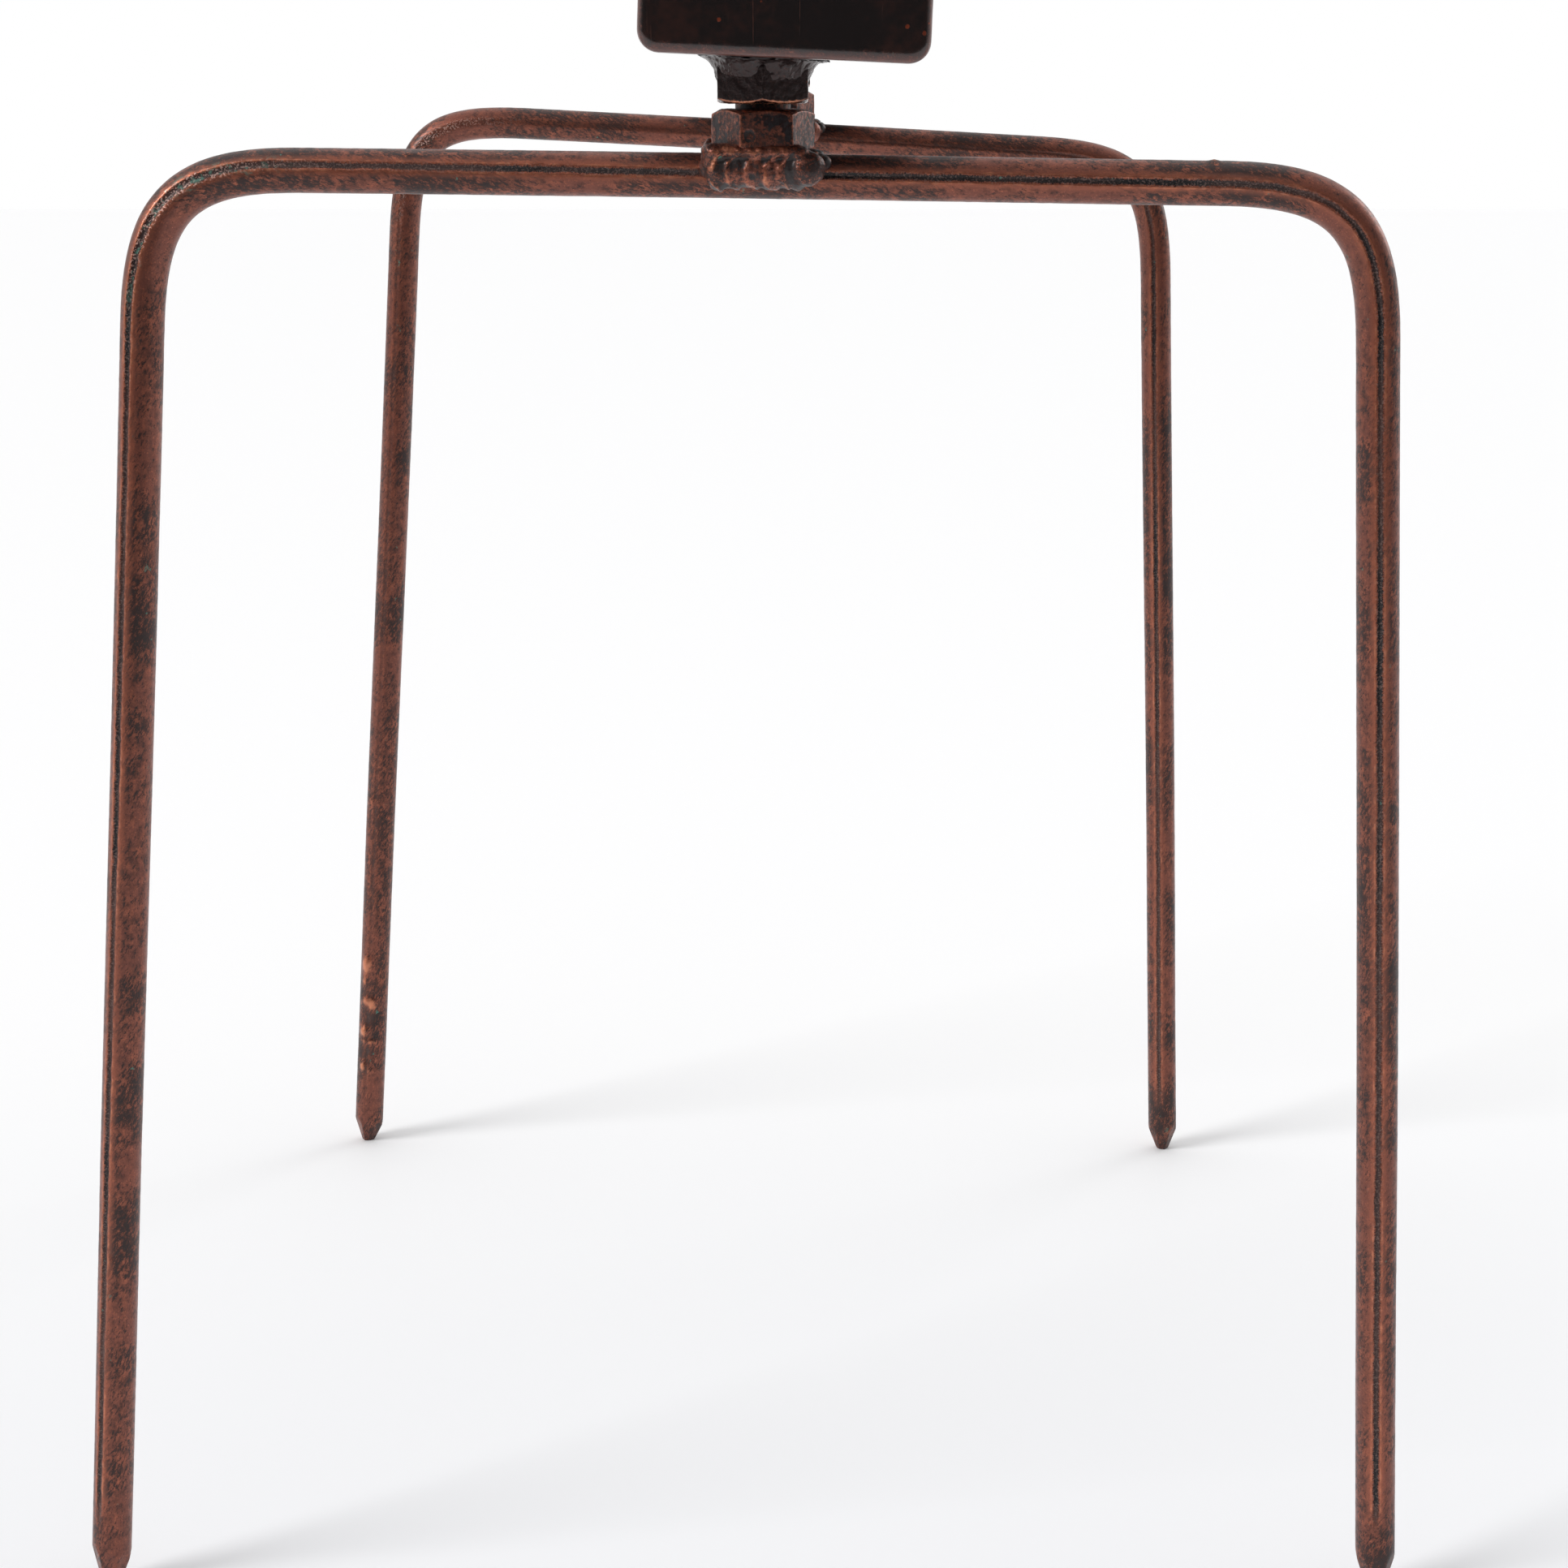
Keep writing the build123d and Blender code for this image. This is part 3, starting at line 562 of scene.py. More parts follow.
ROD_COPPER = antique_copper("rod_copper", lay=True)
NUT_COPPER = antique_copper("nut_copper", tone=0.02, rubbed=0.5, pools=0.07)
WELD_COPPER = antique_copper("weld_copper", rubbed=0.7)
WELD_DARK = antique_copper("weld_dark", tone=0.22, rubbed=0.62, cover=0.96, dull=-0.10)
BURNER_COPPER = antique_copper("burner_copper", relief="shader", turned=(0.35, 0.35, 4.0))
VALVE_COPPER = antique_copper("valve_copper", relief="shader", turned=(4.0, 0.35, 0.35))
BEAM_DARK = beam_patina()
RAW_BRASS = turned_brass()
SEAL_RUBBER = seal_rubber()


# ---- leg frames -------------------------------------------------------------------------------
STATION_STEP = 0.5
BEND_STEPS = 200
SEAM_SIDES = 17  # points across the seam and its lips
SEAM_SPREAD = 13.0  # degrees each side of the seam that they cover
OTHER_SIDES = 46
SKIN_ALLOWANCE = 0.07  # kept inside the CAD rod, for raised lips and grain
TIP_RADIUS = 1.35
POINT_FACETS = 7
FACET_REACH = 0.2  # cosine of the angle from its middle up to which a facet cuts
SEAM_RUN_OUT = (5.0, 6.0)  # where the seam starts above a foot's point, and how long it takes to deepen
PINCH_REACH = 14.0  # of the crushed seam, each way along the first bend
GROOVE_WIDTH, GROOVE_DEPTH = 0.34, 0.36
GROOVE_SWAY = 0.10
LIP_PLACE, LIP_WIDTH, LIP_HEIGHT = 0.74, 0.26, 0.05
GRAIN_HEIGHT = 0.022
DENT_DEPTH = 0.05
WANDER, WANDER_PITCH = 0.10, 37.0  # how far a bar strays from straight, and over what length


def bent_path(corners, reach, pull):
    """Places and headings along straight runs joined by bends, and the distances of the bends' ends."""
    places, ends = [corners[0]], []
    share = np.linspace(0, 1, BEND_STEPS)[:, None]
    for before, corner, after in zip(corners, corners[1:], corners[2:]):
        start = corner + reach * (before - corner) / np.linalg.norm(before - corner)
        end = corner + reach * (after - corner) / np.linalg.norm(after - corner)
        start_pull, end_pull = start + pull * (corner - start), end + pull * (corner - end)
        near = (1 - share) ** 3 * start + 3 * (1 - share) ** 2 * share * start_pull
        bend = near + 3 * (1 - share) * share**2 * end_pull + share**3 * end
        ends += [len(places), len(places) + BEND_STEPS - 1]
        places += list(bend)
    places = np.array(places + [corners[-1]])
    walked = np.concatenate([[0.0], np.cumsum(np.linalg.norm(np.diff(places, axis=0), axis=1))])
    distance = np.linspace(0, walked[-1], round(walked[-1] / STATION_STEP) + 1)
    path = np.stack([np.interp(distance, walked, column) for column in places.T], axis=-1)
    headings = np.gradient(path, axis=0)
    headings /= np.linalg.norm(headings, axis=1, keepdims=True)
    return path, headings, distance, walked[ends]


def ground_point(from_tip, angle, length, seed):
    """The rod's radius near a foot, ground to a point with flat facets by hand."""
    draw = random.Random(seed)
    slope = (ROD_RADIUS - TIP_RADIUS) / length
    radius = np.full(np.broadcast(from_tip, angle).shape, ROD_RADIUS - SKIN_ALLOWANCE)
    for facet in range(POINT_FACETS):
        facing = 2 * math.pi * facet / POINT_FACETS + draw.uniform(-0.18, 0.18)
        start = TIP_RADIUS * draw.uniform(0.84, 1.0)
        rise = slope * draw.uniform(0.86, 1.12)
        across = np.cos(angle - facing)
        limit = (start + rise * from_tip) / np.maximum(across, FACET_REACH)
        radius = np.where(across > FACET_REACH, np.minimum(radius, limit), radius)
    return radius


def rod(side):
    """One leg frame: a drawn bar bent twice, with its rolled seam, dents and burrs."""
    left_bar, right_bar, slope, reach, pull, point, seam, seam_depth = LEG_FRAMES[side]
    stud, along = stud_of(side)
    left = np.linalg.norm((MOUNTS[f"{side}_left_foot"] - stud)[:2])
    right = np.linalg.norm((MOUNTS[f"{side}_right_foot"] - stud)[:2])
    slope = math.tan(math.radians(slope))
    corners = [
        np.array([-left, 0.0]),
        np.array([-left_bar, BAR_HEIGHT + left_bar * slope]),
        np.array([right_bar, BAR_HEIGHT - right_bar * slope]),
        np.array([right, 0.0]),
    ]
    places, headings, distance, arcs = bent_path(corners, reach, pull)
    whole = distance[-1]
    marks = [0.0, arcs[0], arcs[1], (arcs[1] + arcs[2]) / 2, arcs[2], arcs[3], whole]
    seam_angle = np.radians(np.interp(distance, marks, seam))

    near = np.radians(np.linspace(-SEAM_SPREAD, SEAM_SPREAD, SEAM_SIDES))
    far = np.radians(np.linspace(SEAM_SPREAD, 360 - SEAM_SPREAD, OTHER_SIDES + 2)[1:-1])
    offset = np.concatenate([near, far])
    from_seam = ROD_RADIUS * np.where(offset > math.pi, offset - 2 * math.pi, offset)
    angle = seam_angle[:, None] + offset[None, :]
    along_rod = np.broadcast_to(distance[:, None], angle.shape)
    lay = np.stack([ROD_RADIUS * np.cos(angle), ROD_RADIUS * np.sin(angle), along_rod], axis=-1)

    from_foot = np.minimum(distance, whole - distance)
    radius = np.minimum(
        ground_point(distance[:, None], angle, point, 3),
        ground_point(whole - distance[:, None], angle, point, 8),
    )
    flat_points = lay.reshape(-1, 3)
    dents = fractal(flat_points * (1, 1, 0.45), 0.24, 3, 5.0).reshape(angle.shape)
    grain = fractal(flat_points * (1, 1, 0.6), 1.1, 3, 9.0).reshape(angle.shape)
    bare, run_out = SEAM_RUN_OUT
    strength = np.clip((from_foot - point - bare) / run_out, 0, 1)
    strength *= np.interp(distance, marks, seam_depth)
    strength *= 0.85 + 0.35 * fractal([(0.0, 0.0, s) for s in distance], 0.05, 3, 2.0)
    pinch = np.exp(-(((distance - (arcs[0] + arcs[1]) / 2) / PINCH_REACH) ** 2))
    ragged = fractal([(0.0, 3.0, s) for s in distance], 0.9, 3, 4.0)
    sway = GROOVE_SWAY * fractal([(7.0, 0.0, s) for s in distance], 0.35, 3, 6.0) * (1 + pinch)
    width = GROOVE_WIDTH + 0.07 * ragged + 0.10 * pinch
    off_middle = from_seam[None, :] - sway[:, None]
    groove = np.exp(-((off_middle / width[:, None]) ** 2)) * strength[:, None]
    lips = np.exp(-(((np.abs(off_middle) - LIP_PLACE) / LIP_WIDTH) ** 2)) * strength[:, None]
    lips *= 1 + 0.8 * ragged[:, None] + 0.6 * pinch[:, None]
    height = -GROOVE_DEPTH * groove + LIP_HEIGHT * lips + GRAIN_HEIGHT * grain
    height -= DENT_DEPTH * np.clip(dents - 0.25, 0, 1)
    raised = np.zeros_like(height)
    for place, turn, rise_up, half_length, half_width in ROD_MARKS[side]:
        sideways = ROD_RADIUS * (np.mod(angle - math.radians(turn) + math.pi, 2 * math.pi) - math.pi)
        shape = np.exp(-(((along_rod - place) / half_length) ** 2) - (sideways / half_width) ** 2)
        raised += rise_up * shape
    radius += height + raised
    across = np.stack([-headings[:, 1], headings[:, 0]], axis=-1)
    front = np.array([along[1], -along[0], 0.0])
    wander = WANDER * np.sin(distance / WANDER_PITCH) * np.clip(from_foot / 60 - 0.3, 0, 1)
    in_plane = radius * np.sin(angle) + wander[:, None]
    to_front = radius * np.cos(angle) + 0.5 * wander[:, None]
    flat = places[:, None, :] + across[:, None, :] * in_plane[..., None]
    rings = (
        stud
        + along * flat[..., :1]
        + np.array([0.0, 0.0, 1.0]) * flat[..., 1:]
        + front * to_front[..., None]
    )
    rings[..., 2] = np.maximum(rings[..., 2], 0.0)
    piece = grid_piece(f"{side}_rod", rings)
    ends = np.zeros(2)
    relief = -1.1 * groove + 0.75 * lips + 0.25 * grain + np.clip(2.2 * raised, -1, 1)
    store(piece.data, "relief", np.concatenate([relief.ravel(), ends]))
    store(piece.data, "lay", np.vstack([flat_points, np.zeros((2, 3))]))
    all_round = [np.broadcast_to(values[:, None], height.shape) for values in (strength, pinch)]
    seam_place = np.stack([off_middle, *all_round], axis=-1)
    store(piece.data, "seam", np.vstack([seam_place.reshape(-1, 3), np.zeros((2, 3))]))
    settle(piece, f"{side}_legs", "rod_copper", ROD_COPPER, f"{side}_leg_frame")


# ---- nuts and welds ---------------------------------------------------------------------------
NUT_VOXEL = 0.17
WELD_VOXEL = 0.15
SOCKET_VOXEL = 0.22
SPINDLE_SIDES = 56
PIT = (1.8, 2.3, 1.0, 0.14)  # left of the front lower nut's middle, up from its foot, radius and depth
NUT_GRAIN = (0.07, 0.55, 5)  # height, scale and octaves of the uneven surface, here and below
BEAD_RISE = 1.25  # of the bead's middle above the bar's axis
BEAD_GRAIN = (0.10, 0.8, 4)
SCALE_PITCH = 2.56  # of the overlapping scales in the bar's bead
SCALE_DEPTH = 0.20
SCALES_FROM, SCALES_TO = -8.5, 4.4  # along the bar
SMOOTH_ABOVE = 1.3  # height over the bead's middle at which the scales end
RING_AT, RING_RADIUS, RING_WIDTH = (6.5, 0.15), 3.0, 0.35  # the dark line round the tack
# Lumps at the ends of the bar's bead: centre along the bar, out from the stud and up from the bead's
# middle, the three radii, and the lean in degrees. The first is the round tack.
BEAD_ENDS = (
    ((6.3, 5.0, 0.1), (2.8, 2.7, 2.6), 0),
    ((-6.9, 4.1, 1.5), (2.0, 2.5, 2.1), 18),
    ((-8.0, 2.6, 0.2), (1.3, 2.3, 1.7), 12),
    ((-7.7, 3.9, 2.9), (0.8, 1.2, 1.3), -8),
    ((8.3, 1.8, 0.4), (1.8, 2.0, 1.6), -20),
    ((-8.7, 3.5, 0.1), (0.5, 0.45, 0.5), 0),
)
# The fillet under the beam, from its foot up: radius and depth under the beam.
FLARE = (
    (6.6, 3.4),
    (7.05, 2.9),
    (7.3, 2.3),
    (7.55, 1.7),
    (7.85, 1.2),
    (8.25, 0.8),
    (8.8, 0.5),
    (9.5, 0.25),
    (9.6, -0.3),
)
FLARE_RUNS = 13
FLARE_LUMPS = 9
FLARE_LUMP_REACH = 8.4
FLARE_SWELL = (0.30, 0.34, 4)
FLARE_GRAIN = (0.10, 1.1, 3)
SOCKET_BEADS = 40
SOCKET_GRAIN = (0.12, 0.8, 4)


def stand_nut(side, level, body, material):
    node = f"{side}_{level}_nut"
    piece = fused(f"{node}_worn", cad_shape(node), NUT_VOXEL, 3)
    if (side, level) == ("front", "lower"):
        pit(piece, *PIT)
    roughen(piece, *NUT_GRAIN, 3.0 + len(node))
    if level == "upper":
        fade = piece.data.attributes["relief"].data
        rise = vertices_of(piece.data)[:, 2] - UPPER_NUT_Z
        worn = np.array([spot.value for spot in fade]) * np.clip(1.2 - rise / 2.2, -0.1, 1)
        fade.foreach_set("value", worn.astype(np.float32) + 0.7 * np.clip(1 - rise / 0.9, 0, 1))
    settle(piece, body, "nut_copper", material, node)


def pit(piece, left, up, radius, depth):
    """A shallow round pit in the front lower nut's front flat, left of its middle and up from its foot."""
    stud, along = stud_of("front")
    points = vertices_of(piece.data)
    across = (points - stud) @ along + left
    level = points[:, 2] - LOWER_NUT_Z - up
    ahead = (points - stud) @ np.array([along[1], -along[0], 0.0]) > NUT_FLATS / 3
    inside = np.clip(1 - (across**2 + level**2) / radius**2, 0, 1) * ahead
    points[:, 1] += depth * np.sin(0.5 * math.pi * inside)
    move_vertices(piece.data, points)


def add_spindle(body, frame_matrix, profile, shear):
    """A closed turned shape through (radius, height) points, its heights sheared along the frame's X."""
    rings = []
    turns = [2 * math.pi * side / SPINDLE_SIDES for side in range(SPINDLE_SIDES)]
    for radius, height in profile:
        ring = []
        for turn in turns:
            x, y = radius * math.cos(turn), radius * math.sin(turn)
            ring.append(body.verts.new(frame_matrix @ (Vector((x, y, height - shear * x)) * MM)))
        rings.append(ring)
    for lower, upper in zip(rings, rings[1:]):
        for here in range(SPINDLE_SIDES):
            after = (here + 1) % SPINDLE_SIDES
            body.faces.new((lower[here], lower[after], upper[after], upper[here]))
    body.faces.new(rings[0][::-1])
    body.faces.new(rings[-1])


def bar_weld(side):
    """The bead between bar and nut, front and back: overlapping scales, with a round tack at one end."""
    draw = random.Random(f"{side} bar weld")
    body = bmesh.new()
    here = stud_frame(side)
    middle = BAR_HEIGHT + BEAD_RISE
    for face in (-1, 1):
        for step in range(9):
            spot = (-6.3 + 1.4 * step, face * 3.6, middle + draw.uniform(-0.15, 0.15))
            add_blob(body, here, spot, (2.1, draw.uniform(3.3, 3.5), draw.uniform(3.05, 3.3)))
        for step in range(8):
            spot = (-6.4 + 1.6 * step, face * 4.9, middle + 2.35 + draw.uniform(-0.2, 0.1))
            add_blob(body, here, spot, (2.5, 2.3, draw.uniform(1.3, 1.45)), 12)
        for (along_bar, out, up), radii, lean in BEAD_ENDS:
            add_blob(body, here, (along_bar, face * out, middle + up), radii, lean)
    add_blob(body, here, (0.4, 0, middle + 2.1), (8.6, 4.6, 1.2))
    piece = fused(f"{side}_bar_weld", body, WELD_VOXEL, 8)
    mesh = piece.data
    stud, along = stud_of(side)
    points = vertices_of(mesh)
    x = (points - stud) @ along
    level = points[:, 2] - middle
    bow = x - 0.30 * level**2 - 0.42 * level
    bow += 0.9 * fractal(points, 0.28, 3, 13.0)
    from_crest = np.abs(np.mod(bow / SCALE_PITCH + 0.5, 1.0) - 0.5) * SCALE_PITCH
    crest = np.exp(-((from_crest / (0.55 + 0.3 * fractal(points, 0.4, 2, 5.0))) ** 2))
    crest = np.maximum(crest, np.clip(level - SMOOTH_ABOVE, 0, 1))
    on_bead = np.clip(SCALES_TO - x, 0, 1) * np.clip((x - SCALES_FROM) / 1.5, 0, 1)
    points += normals_of(mesh) * (SCALE_DEPTH * (crest - 1) * on_bead)[:, None]
    move_vertices(mesh, points)
    roughen(piece, *BEAD_GRAIN, 11.0 + len(side))
    relief = mesh.attributes["relief"].data
    uneven = np.array([spot.value for spot in relief])
    crest_relief = on_bead * (crest - 0.35) + 0.7 * fractal(points, 0.45, 4, 3.0)
    from_tack = np.hypot(x - RING_AT[0], level - RING_AT[1])
    ring = np.exp(-(((from_tack - RING_RADIUS) / RING_WIDTH) ** 2))
    relief.foreach_set("value", np.clip(0.35 * uneven + crest_relief - ring, -1, 1).astype(np.float32))
    settle(piece, f"{side}_legs", "weld_copper", WELD_COPPER, f"{side}_lower_weld")


def beam_weld(side):
    """The flared fillet between the upper nut and the beam, run down over the nut's upper half."""
    draw = random.Random(f"{side} beam weld")
    body = bmesh.new()
    here = stud_frame(side)
    roll = math.tan(math.radians(BEAM_ROLL))
    stud, _ = stud_of(side)
    top = UNDERSIDE_Z - roll * (stud[0] - BEAM_X)
    add_spindle(body, here, [(radius, top - depth) for radius, depth in FLARE], roll)
    for blob in range(FLARE_RUNS):
        turn = 2 * math.pi * blob / FLARE_RUNS + draw.uniform(-0.12, 0.12)
        x, y = math.cos(turn), math.sin(turn)
        reach = draw.uniform(5.4, 5.9)
        size = (draw.uniform(1.6, 2.0), draw.uniform(1.6, 2.0), draw.uniform(1.2, 1.9))
        add_blob(body, here, (reach * x, reach * y, top - roll * reach * x - draw.uniform(1.6, 2.7)), size)
    for _ in range(FLARE_LUMPS):
        turn = draw.uniform(0, 2 * math.pi)
        x, y = FLARE_LUMP_REACH * math.cos(turn), FLARE_LUMP_REACH * math.sin(turn)
        size = (draw.uniform(1.0, 1.6), draw.uniform(1.0, 1.6), draw.uniform(0.45, 0.75))
        add_blob(body, here, (x, y, top - roll * x - 0.25), size)
    piece = fused(f"{side}_beam_weld", body, WELD_VOXEL, 4)
    roughen(piece, *FLARE_SWELL, 17.0 + len(side))
    roughen(piece, *FLARE_GRAIN, 29.0 + len(side))
    settle(piece, "burner_body", "weld_copper", WELD_DARK, f"{side}_upper_weld")


def socket_bead():
    """The ring of weld that holds the burner's socket on the beam."""
    draw = random.Random("socket weld")
    low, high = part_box("socket_weld")
    middle = (low + high) / (2 * MM)
    radius = (high.x - low.x) / (2 * MM) - 1.9
    roll = math.tan(math.radians(BEAM_ROLL))
    body = bmesh.new()
    for bead in range(SOCKET_BEADS):
        turn = 2 * math.pi * bead / SOCKET_BEADS
        x, y = radius * math.cos(turn), radius * math.sin(turn)
        size = (draw.uniform(1.55, 1.8), draw.uniform(1.55, 1.8), draw.uniform(1.6, 1.95))
        spot = (middle.x + x, y, low.z / MM + 1.5 - roll * (x - radius))
        add_blob(body, Matrix.Identity(4), spot, size)
    piece = fused("socket_bead", body, SOCKET_VOXEL, 1)
    roughen(piece, *SOCKET_GRAIN, 23.0)
    settle(piece, "burner_body", "weld_copper", WELD_DARK, "socket_weld")


# ---- beam -------------------------------------------------------------------------------------
PLATE_VOXEL = 0.3
PLATE_GRAIN = (0.05, 0.12, 3)
RIM_WIDTH = 1.3  # of the rubbed copper round an end plate
LOWER_RIM = 2.3
TUBE_STATIONS = 150
CORNER_POINTS = 9
FLAT_STEP = 1.6
TUBE_INSET = 0.02
TUBE_WAVE = 0.12


def inside_rim(across, up):
    """Distance in from the beam's rounded outline, in millimetres."""
    x = np.abs(across) - (BEAM_WIDTH / 2 - BEAM_CORNER)
    z = np.abs(up - BEAM_HEIGHT / 2) - (BEAM_HEIGHT / 2 - BEAM_CORNER)
    outside = np.hypot(np.maximum(x, 0), np.maximum(z, 0)) + np.minimum(np.maximum(x, z), 0)
    return BEAM_CORNER - outside


def end_plate(side):
    """A plate welded into the beam's end, its edge rounded over and rubbed."""
    node = f"{side}_end_plate"
    piece = fused(f"{node}_worn", cad_shape(node), PLATE_VOXEL, 3)
    roughen(piece, *PLATE_GRAIN, 31.0)
    local = in_beam(vertices_of(piece.data))
    rim = 1 - inside_rim(local[:, 0], local[:, 2]) / RIM_WIDTH
    lower_edge = 1 - local[:, 2] / LOWER_RIM
    piece.data.attributes.remove(piece.data.attributes["relief"])
    store(piece.data, "relief", np.clip(np.maximum(rim, lower_edge), 0, 1))
    settle(piece, "burner_body", "beam_dark", BEAM_DARK, node)


def section_ring(inset):
    """The beam's section, inset, as points going round."""
    radius = BEAM_CORNER - inset
    reach = np.array([BEAM_WIDTH / 2 - BEAM_CORNER, BEAM_HEIGHT / 2 - BEAM_CORNER])
    signs = ((1, 1), (-1, 1), (-1, -1), (1, -1))
    arcs = []
    for corner, sign in enumerate(signs):
        turns = math.pi / 2 * (corner + np.linspace(0, 1, CORNER_POINTS))
        arcs.append(reach * sign + radius * np.stack([np.cos(turns), np.sin(turns)], axis=-1))
    points = []
    for arc, after in zip(arcs, arcs[1:] + arcs[:1]):
        flat = np.linalg.norm(after[0] - arc[-1])
        pieces = max(3, round(flat / FLAT_STEP))
        share = (np.arange(1, pieces) / pieces)[:, None]
        points += [arc, arc[-1] + share * (after[0] - arc[-1])]
    return np.vstack(points) + (0, BEAM_HEIGHT / 2)


def beam_tube():
    """The box beam: outer and inner skin, slightly uneven along its length."""
    half = BEAM_LENGTH / 2 - PLATE_THICKNESS
    stations = np.linspace(-half, half, TUBE_STATIONS)
    rings = []
    for inset, order in ((TUBE_INSET, stations), (BEAM_WALL, stations[::-1])):
        outline = section_ring(inset)
        for y in order:
            rings.append(np.stack([outline[:, 0], np.full(len(outline), y), outline[:, 1]], axis=-1))
    rings = np.array(rings + rings[:1])
    centre = np.array([0.0, 0.0, BEAM_HEIGHT / 2])
    wave = fractal(rings.reshape(-1, 3), 0.035, 3, 41.0).reshape(rings.shape[:2])
    inward = centre - rings
    inward[..., 1] = 0
    inward /= np.linalg.norm(inward, axis=-1, keepdims=True)
    rings = from_beam(rings + inward * (TUBE_WAVE * np.abs(wave))[..., None])
    piece = grid_piece("beam_tube", rings, close_ends=False)
    body = bmesh.new()
    body.from_mesh(piece.data)
    bmesh.ops.remove_doubles(body, verts=body.verts, dist=0.001 * MM)
    bmesh.ops.recalc_face_normals(body, faces=body.faces)
    body.to_mesh(piece.data)
    body.free()
    local = in_beam(vertices_of(piece.data))
    x = np.abs(local[:, 0]) - (BEAM_WIDTH / 2 - BEAM_CORNER)
    z = np.abs(local[:, 2] - BEAM_HEIGHT / 2) - (BEAM_HEIGHT / 2 - BEAM_CORNER)
    near_corner = np.clip(np.minimum(x, z) / BEAM_CORNER * 2.2 + 0.7, 0, 1)
    store(piece.data, "relief", near_corner)
    settle(piece, "burner_body", "beam_dark", BEAM_DARK, "body_tube")


# ---- burner -----------------------------------------------------------------------------------
# Each CAD node of the burner: its body, its material, its record slot and the width of its broken edges.
BURNER_PIECES = {
    "burner_socket": ("burner_body", BURNER_COPPER, "burner_copper", 0.25),
    "burner_base": ("burner_body", BURNER_COPPER, "burner_copper", 0.25),
    "barrel": ("burner_body", BURNER_COPPER, "burner_copper", 0.12),
    "barrel_locknut": ("burner_body", BURNER_COPPER, "burner_copper", 0.18),
    "air_collar": ("air_collar", BURNER_COPPER, "burner_copper", 0.12),
    "collar_stop_ring": ("burner_body", BURNER_COPPER, "burner_copper", 0.15),
    "flame_head": ("burner_body", BURNER_COPPER, "burner_copper", 0.15),
    "valve_bonnet": ("burner_body", VALVE_COPPER, "burner_copper", 0.18),
    "hose_tail": ("burner_body", VALVE_COPPER, "burner_copper", 0.15),
    "valve_knob": ("knob", VALVE_COPPER, "burner_copper", 0.2),
    "gas_jet": ("burner_body", RAW_BRASS, "raw_brass", 0.1),
    "valve_spindle": ("needle", RAW_BRASS, "raw_brass", 0.1),
    "knob_screw": ("knob", RAW_BRASS, "raw_brass", 0.1),
    "valve_packing": ("burner_body", SEAL_RUBBER, "seal_rubber", 0.1),
    "hose_washer": ("burner_body", SEAL_RUBBER, "seal_rubber", 0.15),
    "front_stud": ("burner_body", NUT_COPPER, "nut_copper", 0.15),
    "rear_stud": ("burner_body", NUT_COPPER, "nut_copper", 0.15),
}


def burner():
    for node, (body, material, slot, edge) in BURNER_PIECES.items():
        settle(crisp(node, edge), body, slot, material, node)


# ---- studio -----------------------------------------------------------------------------------
FLOOR_REACH = (4.0, 0.7, 4.0)  # metres to the sides, the front and the back
# Painted light and shade: the floor's near and far colours differ only to paint a dimmer front and a brighter
# back.
FLOOR_NEAR_PAINTED_SHADE = (0.925, 0.93, 0.95, 1)
FLOOR_FAR_PAINTED_LIGHT = (0.975, 0.975, 0.98, 1)
FLOOR_PAINTED_LIGHT_FADE = (-120, 260)  # millimetres back from the middle over which the floor's colour is painted lighter, painted light standing in for light that grows stronger towards the back
FLOOR_ROUGHNESS, FLOOR_SPECULAR = 0.6, 0.2
# How far the world's light reaches round: from and to along the axis, and its strength at each.
BACK_LIGHT = (-0.65, 0.45, 0.09, 0.72)
CEILING_LIGHT = (0.25, 0.9, 0.0, 0.42)
# Each sun: the place it shines from, its spread in degrees and its strength.
SUNS = {
    "key": ((-0.95, -0.42, 0.68), 22.0, 1.55),
    "rim": ((0.9, 0.75, 0.40), 26.0, 0.45),
}


def floor():
    mesh = bpy.data.meshes.new("floor")
    side, front, back = FLOOR_REACH
    outline = [(-side, -front, 0), (side, -front, 0), (side, back, 0), (-side, back, 0)]
    mesh.from_pydata(outline, [], [(0, 1, 2, 3)])
    plane = link("floor", mesh)
    s = Surface("floor_paper_painted_light")
    depth = s.add("SeparateXYZ", {0: s.place}, 1)
    # Painted light: the floor colour is blended from the dimmer near shade to the brighter far shade towards the
    # back, its edge wavering with noise.
    painted_light_fade = s.ramp(s.sum((1.0, depth), (60.0, s.noise(s.place, 0.004, 3))), *FLOOR_PAINTED_LIGHT_FADE)
    colour = s.mix(painted_light_fade, FLOOR_NEAR_PAINTED_SHADE, FLOOR_FAR_PAINTED_LIGHT)
    mesh.materials.append(s.finish(colour, FLOOR_ROUGHNESS, 0.0))
    s.shader.inputs["Specular IOR Level"].default_value = FLOOR_SPECULAR


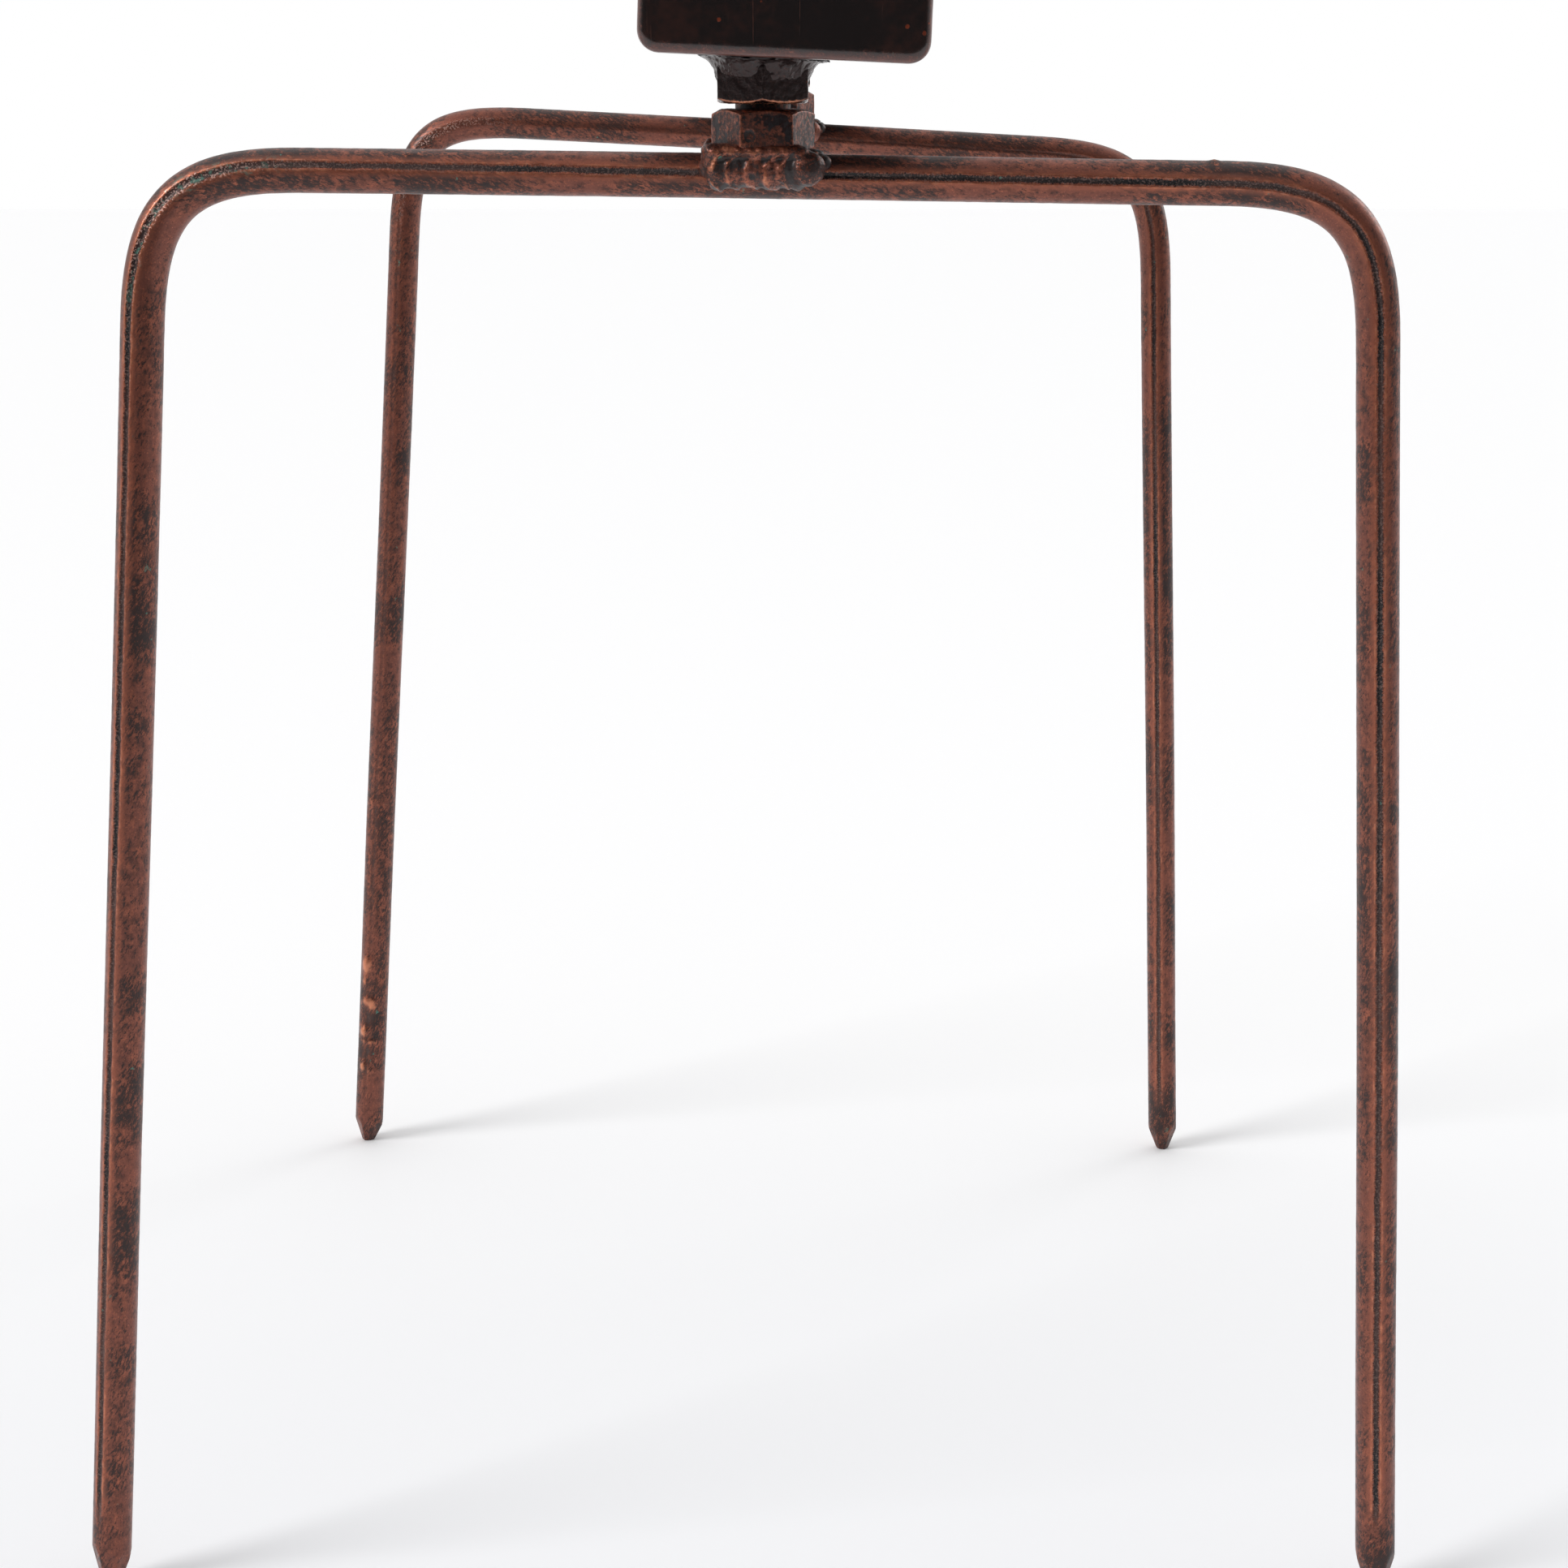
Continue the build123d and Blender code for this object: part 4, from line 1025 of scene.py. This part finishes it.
def surroundings():
    """White paper behind the object, a bright ceiling, and a dim room on the camera's side."""
    world = bpy.data.worlds.new("studio")
    bpy.context.scene.world = world
    world.use_nodes = True
    tree = world.node_tree
    background = tree.nodes["Background"]

    def add(kind, inputs, output=0, **settings):
        node = tree.nodes.new(f"ShaderNode{kind}")
        for key, value in settings.items():
            setattr(node, key, value)
        for key, value in inputs.items():
            if isinstance(value, bpy.types.NodeSocket):
                tree.links.new(value, node.inputs[key])
            else:
                node.inputs[key].default_value = value
        return node.outputs[output]

    direction = add("TexCoord", {}, "Generated")
    apart = tree.nodes.new("ShaderNodeSeparateXYZ")
    tree.links.new(direction, apart.inputs[0])
    smooth = {"interpolation_type": "SMOOTHSTEP"}
    back = add("MapRange", dict(enumerate((apart.outputs[1], *BACK_LIGHT))), **smooth)
    ceiling = add("MapRange", dict(enumerate((apart.outputs[2], *CEILING_LIGHT))), **smooth)
    room = add("Math", {0: back, 1: ceiling}, operation="ADD")
    seen = add("LightPath", {}, "Is Camera Ray")
    strength = add("Mix", {0: seen, 2: room, 3: 1.0})
    background.inputs["Color"].default_value = (1, 1, 1, 1)
    tree.links.new(strength, background.inputs["Strength"])


def soft_sun(name, place, spread, strength):
    """Even light from the direction of a place, its spread in degrees."""
    lamp = bpy.data.lights.new(name, "SUN")
    lamp.energy = strength
    lamp.angle = math.radians(spread)
    light = bpy.data.objects.new(name, lamp)
    bpy.context.scene.collection.objects.link(light)
    light.location = place
    light.rotation_euler = (-Vector(place)).to_track_quat("-Z", "Y").to_euler()


CAMERA_PLACE = (7.11, -487.66, 245.35)
CAMERA_PITCH = 15.24  # degrees below level, looking along +Y
CAMERA_LENS = 61.49


def studio():
    floor()
    surroundings()
    for name, (place, spread, strength) in SUNS.items():
        soft_sun(name, place, spread, strength)
    lens = bpy.data.cameras.new("camera")
    lens.sensor_width = 36.0
    lens.lens = CAMERA_LENS
    lens.clip_start = 0.01
    camera = bpy.data.objects.new("camera", lens)
    bpy.context.scene.collection.objects.link(camera)
    camera.location = Vector(CAMERA_PLACE) * MM
    camera.rotation_euler = (math.radians(90 - CAMERA_PITCH), 0, 0)
    bpy.context.scene.camera = camera
    bpy.context.scene.view_settings.view_transform = "Standard"


# ---- assembly ---------------------------------------------------------------------------------
studio()
for end in ("front", "rear"):
    rod(end)
    stand_nut(end, "lower", f"{end}_legs", NUT_COPPER)
    stand_nut(end, "upper", "burner_body", WELD_DARK)
    bar_weld(end)
    beam_weld(end)
    end_plate(end)
beam_tube()
socket_bead()
burner()
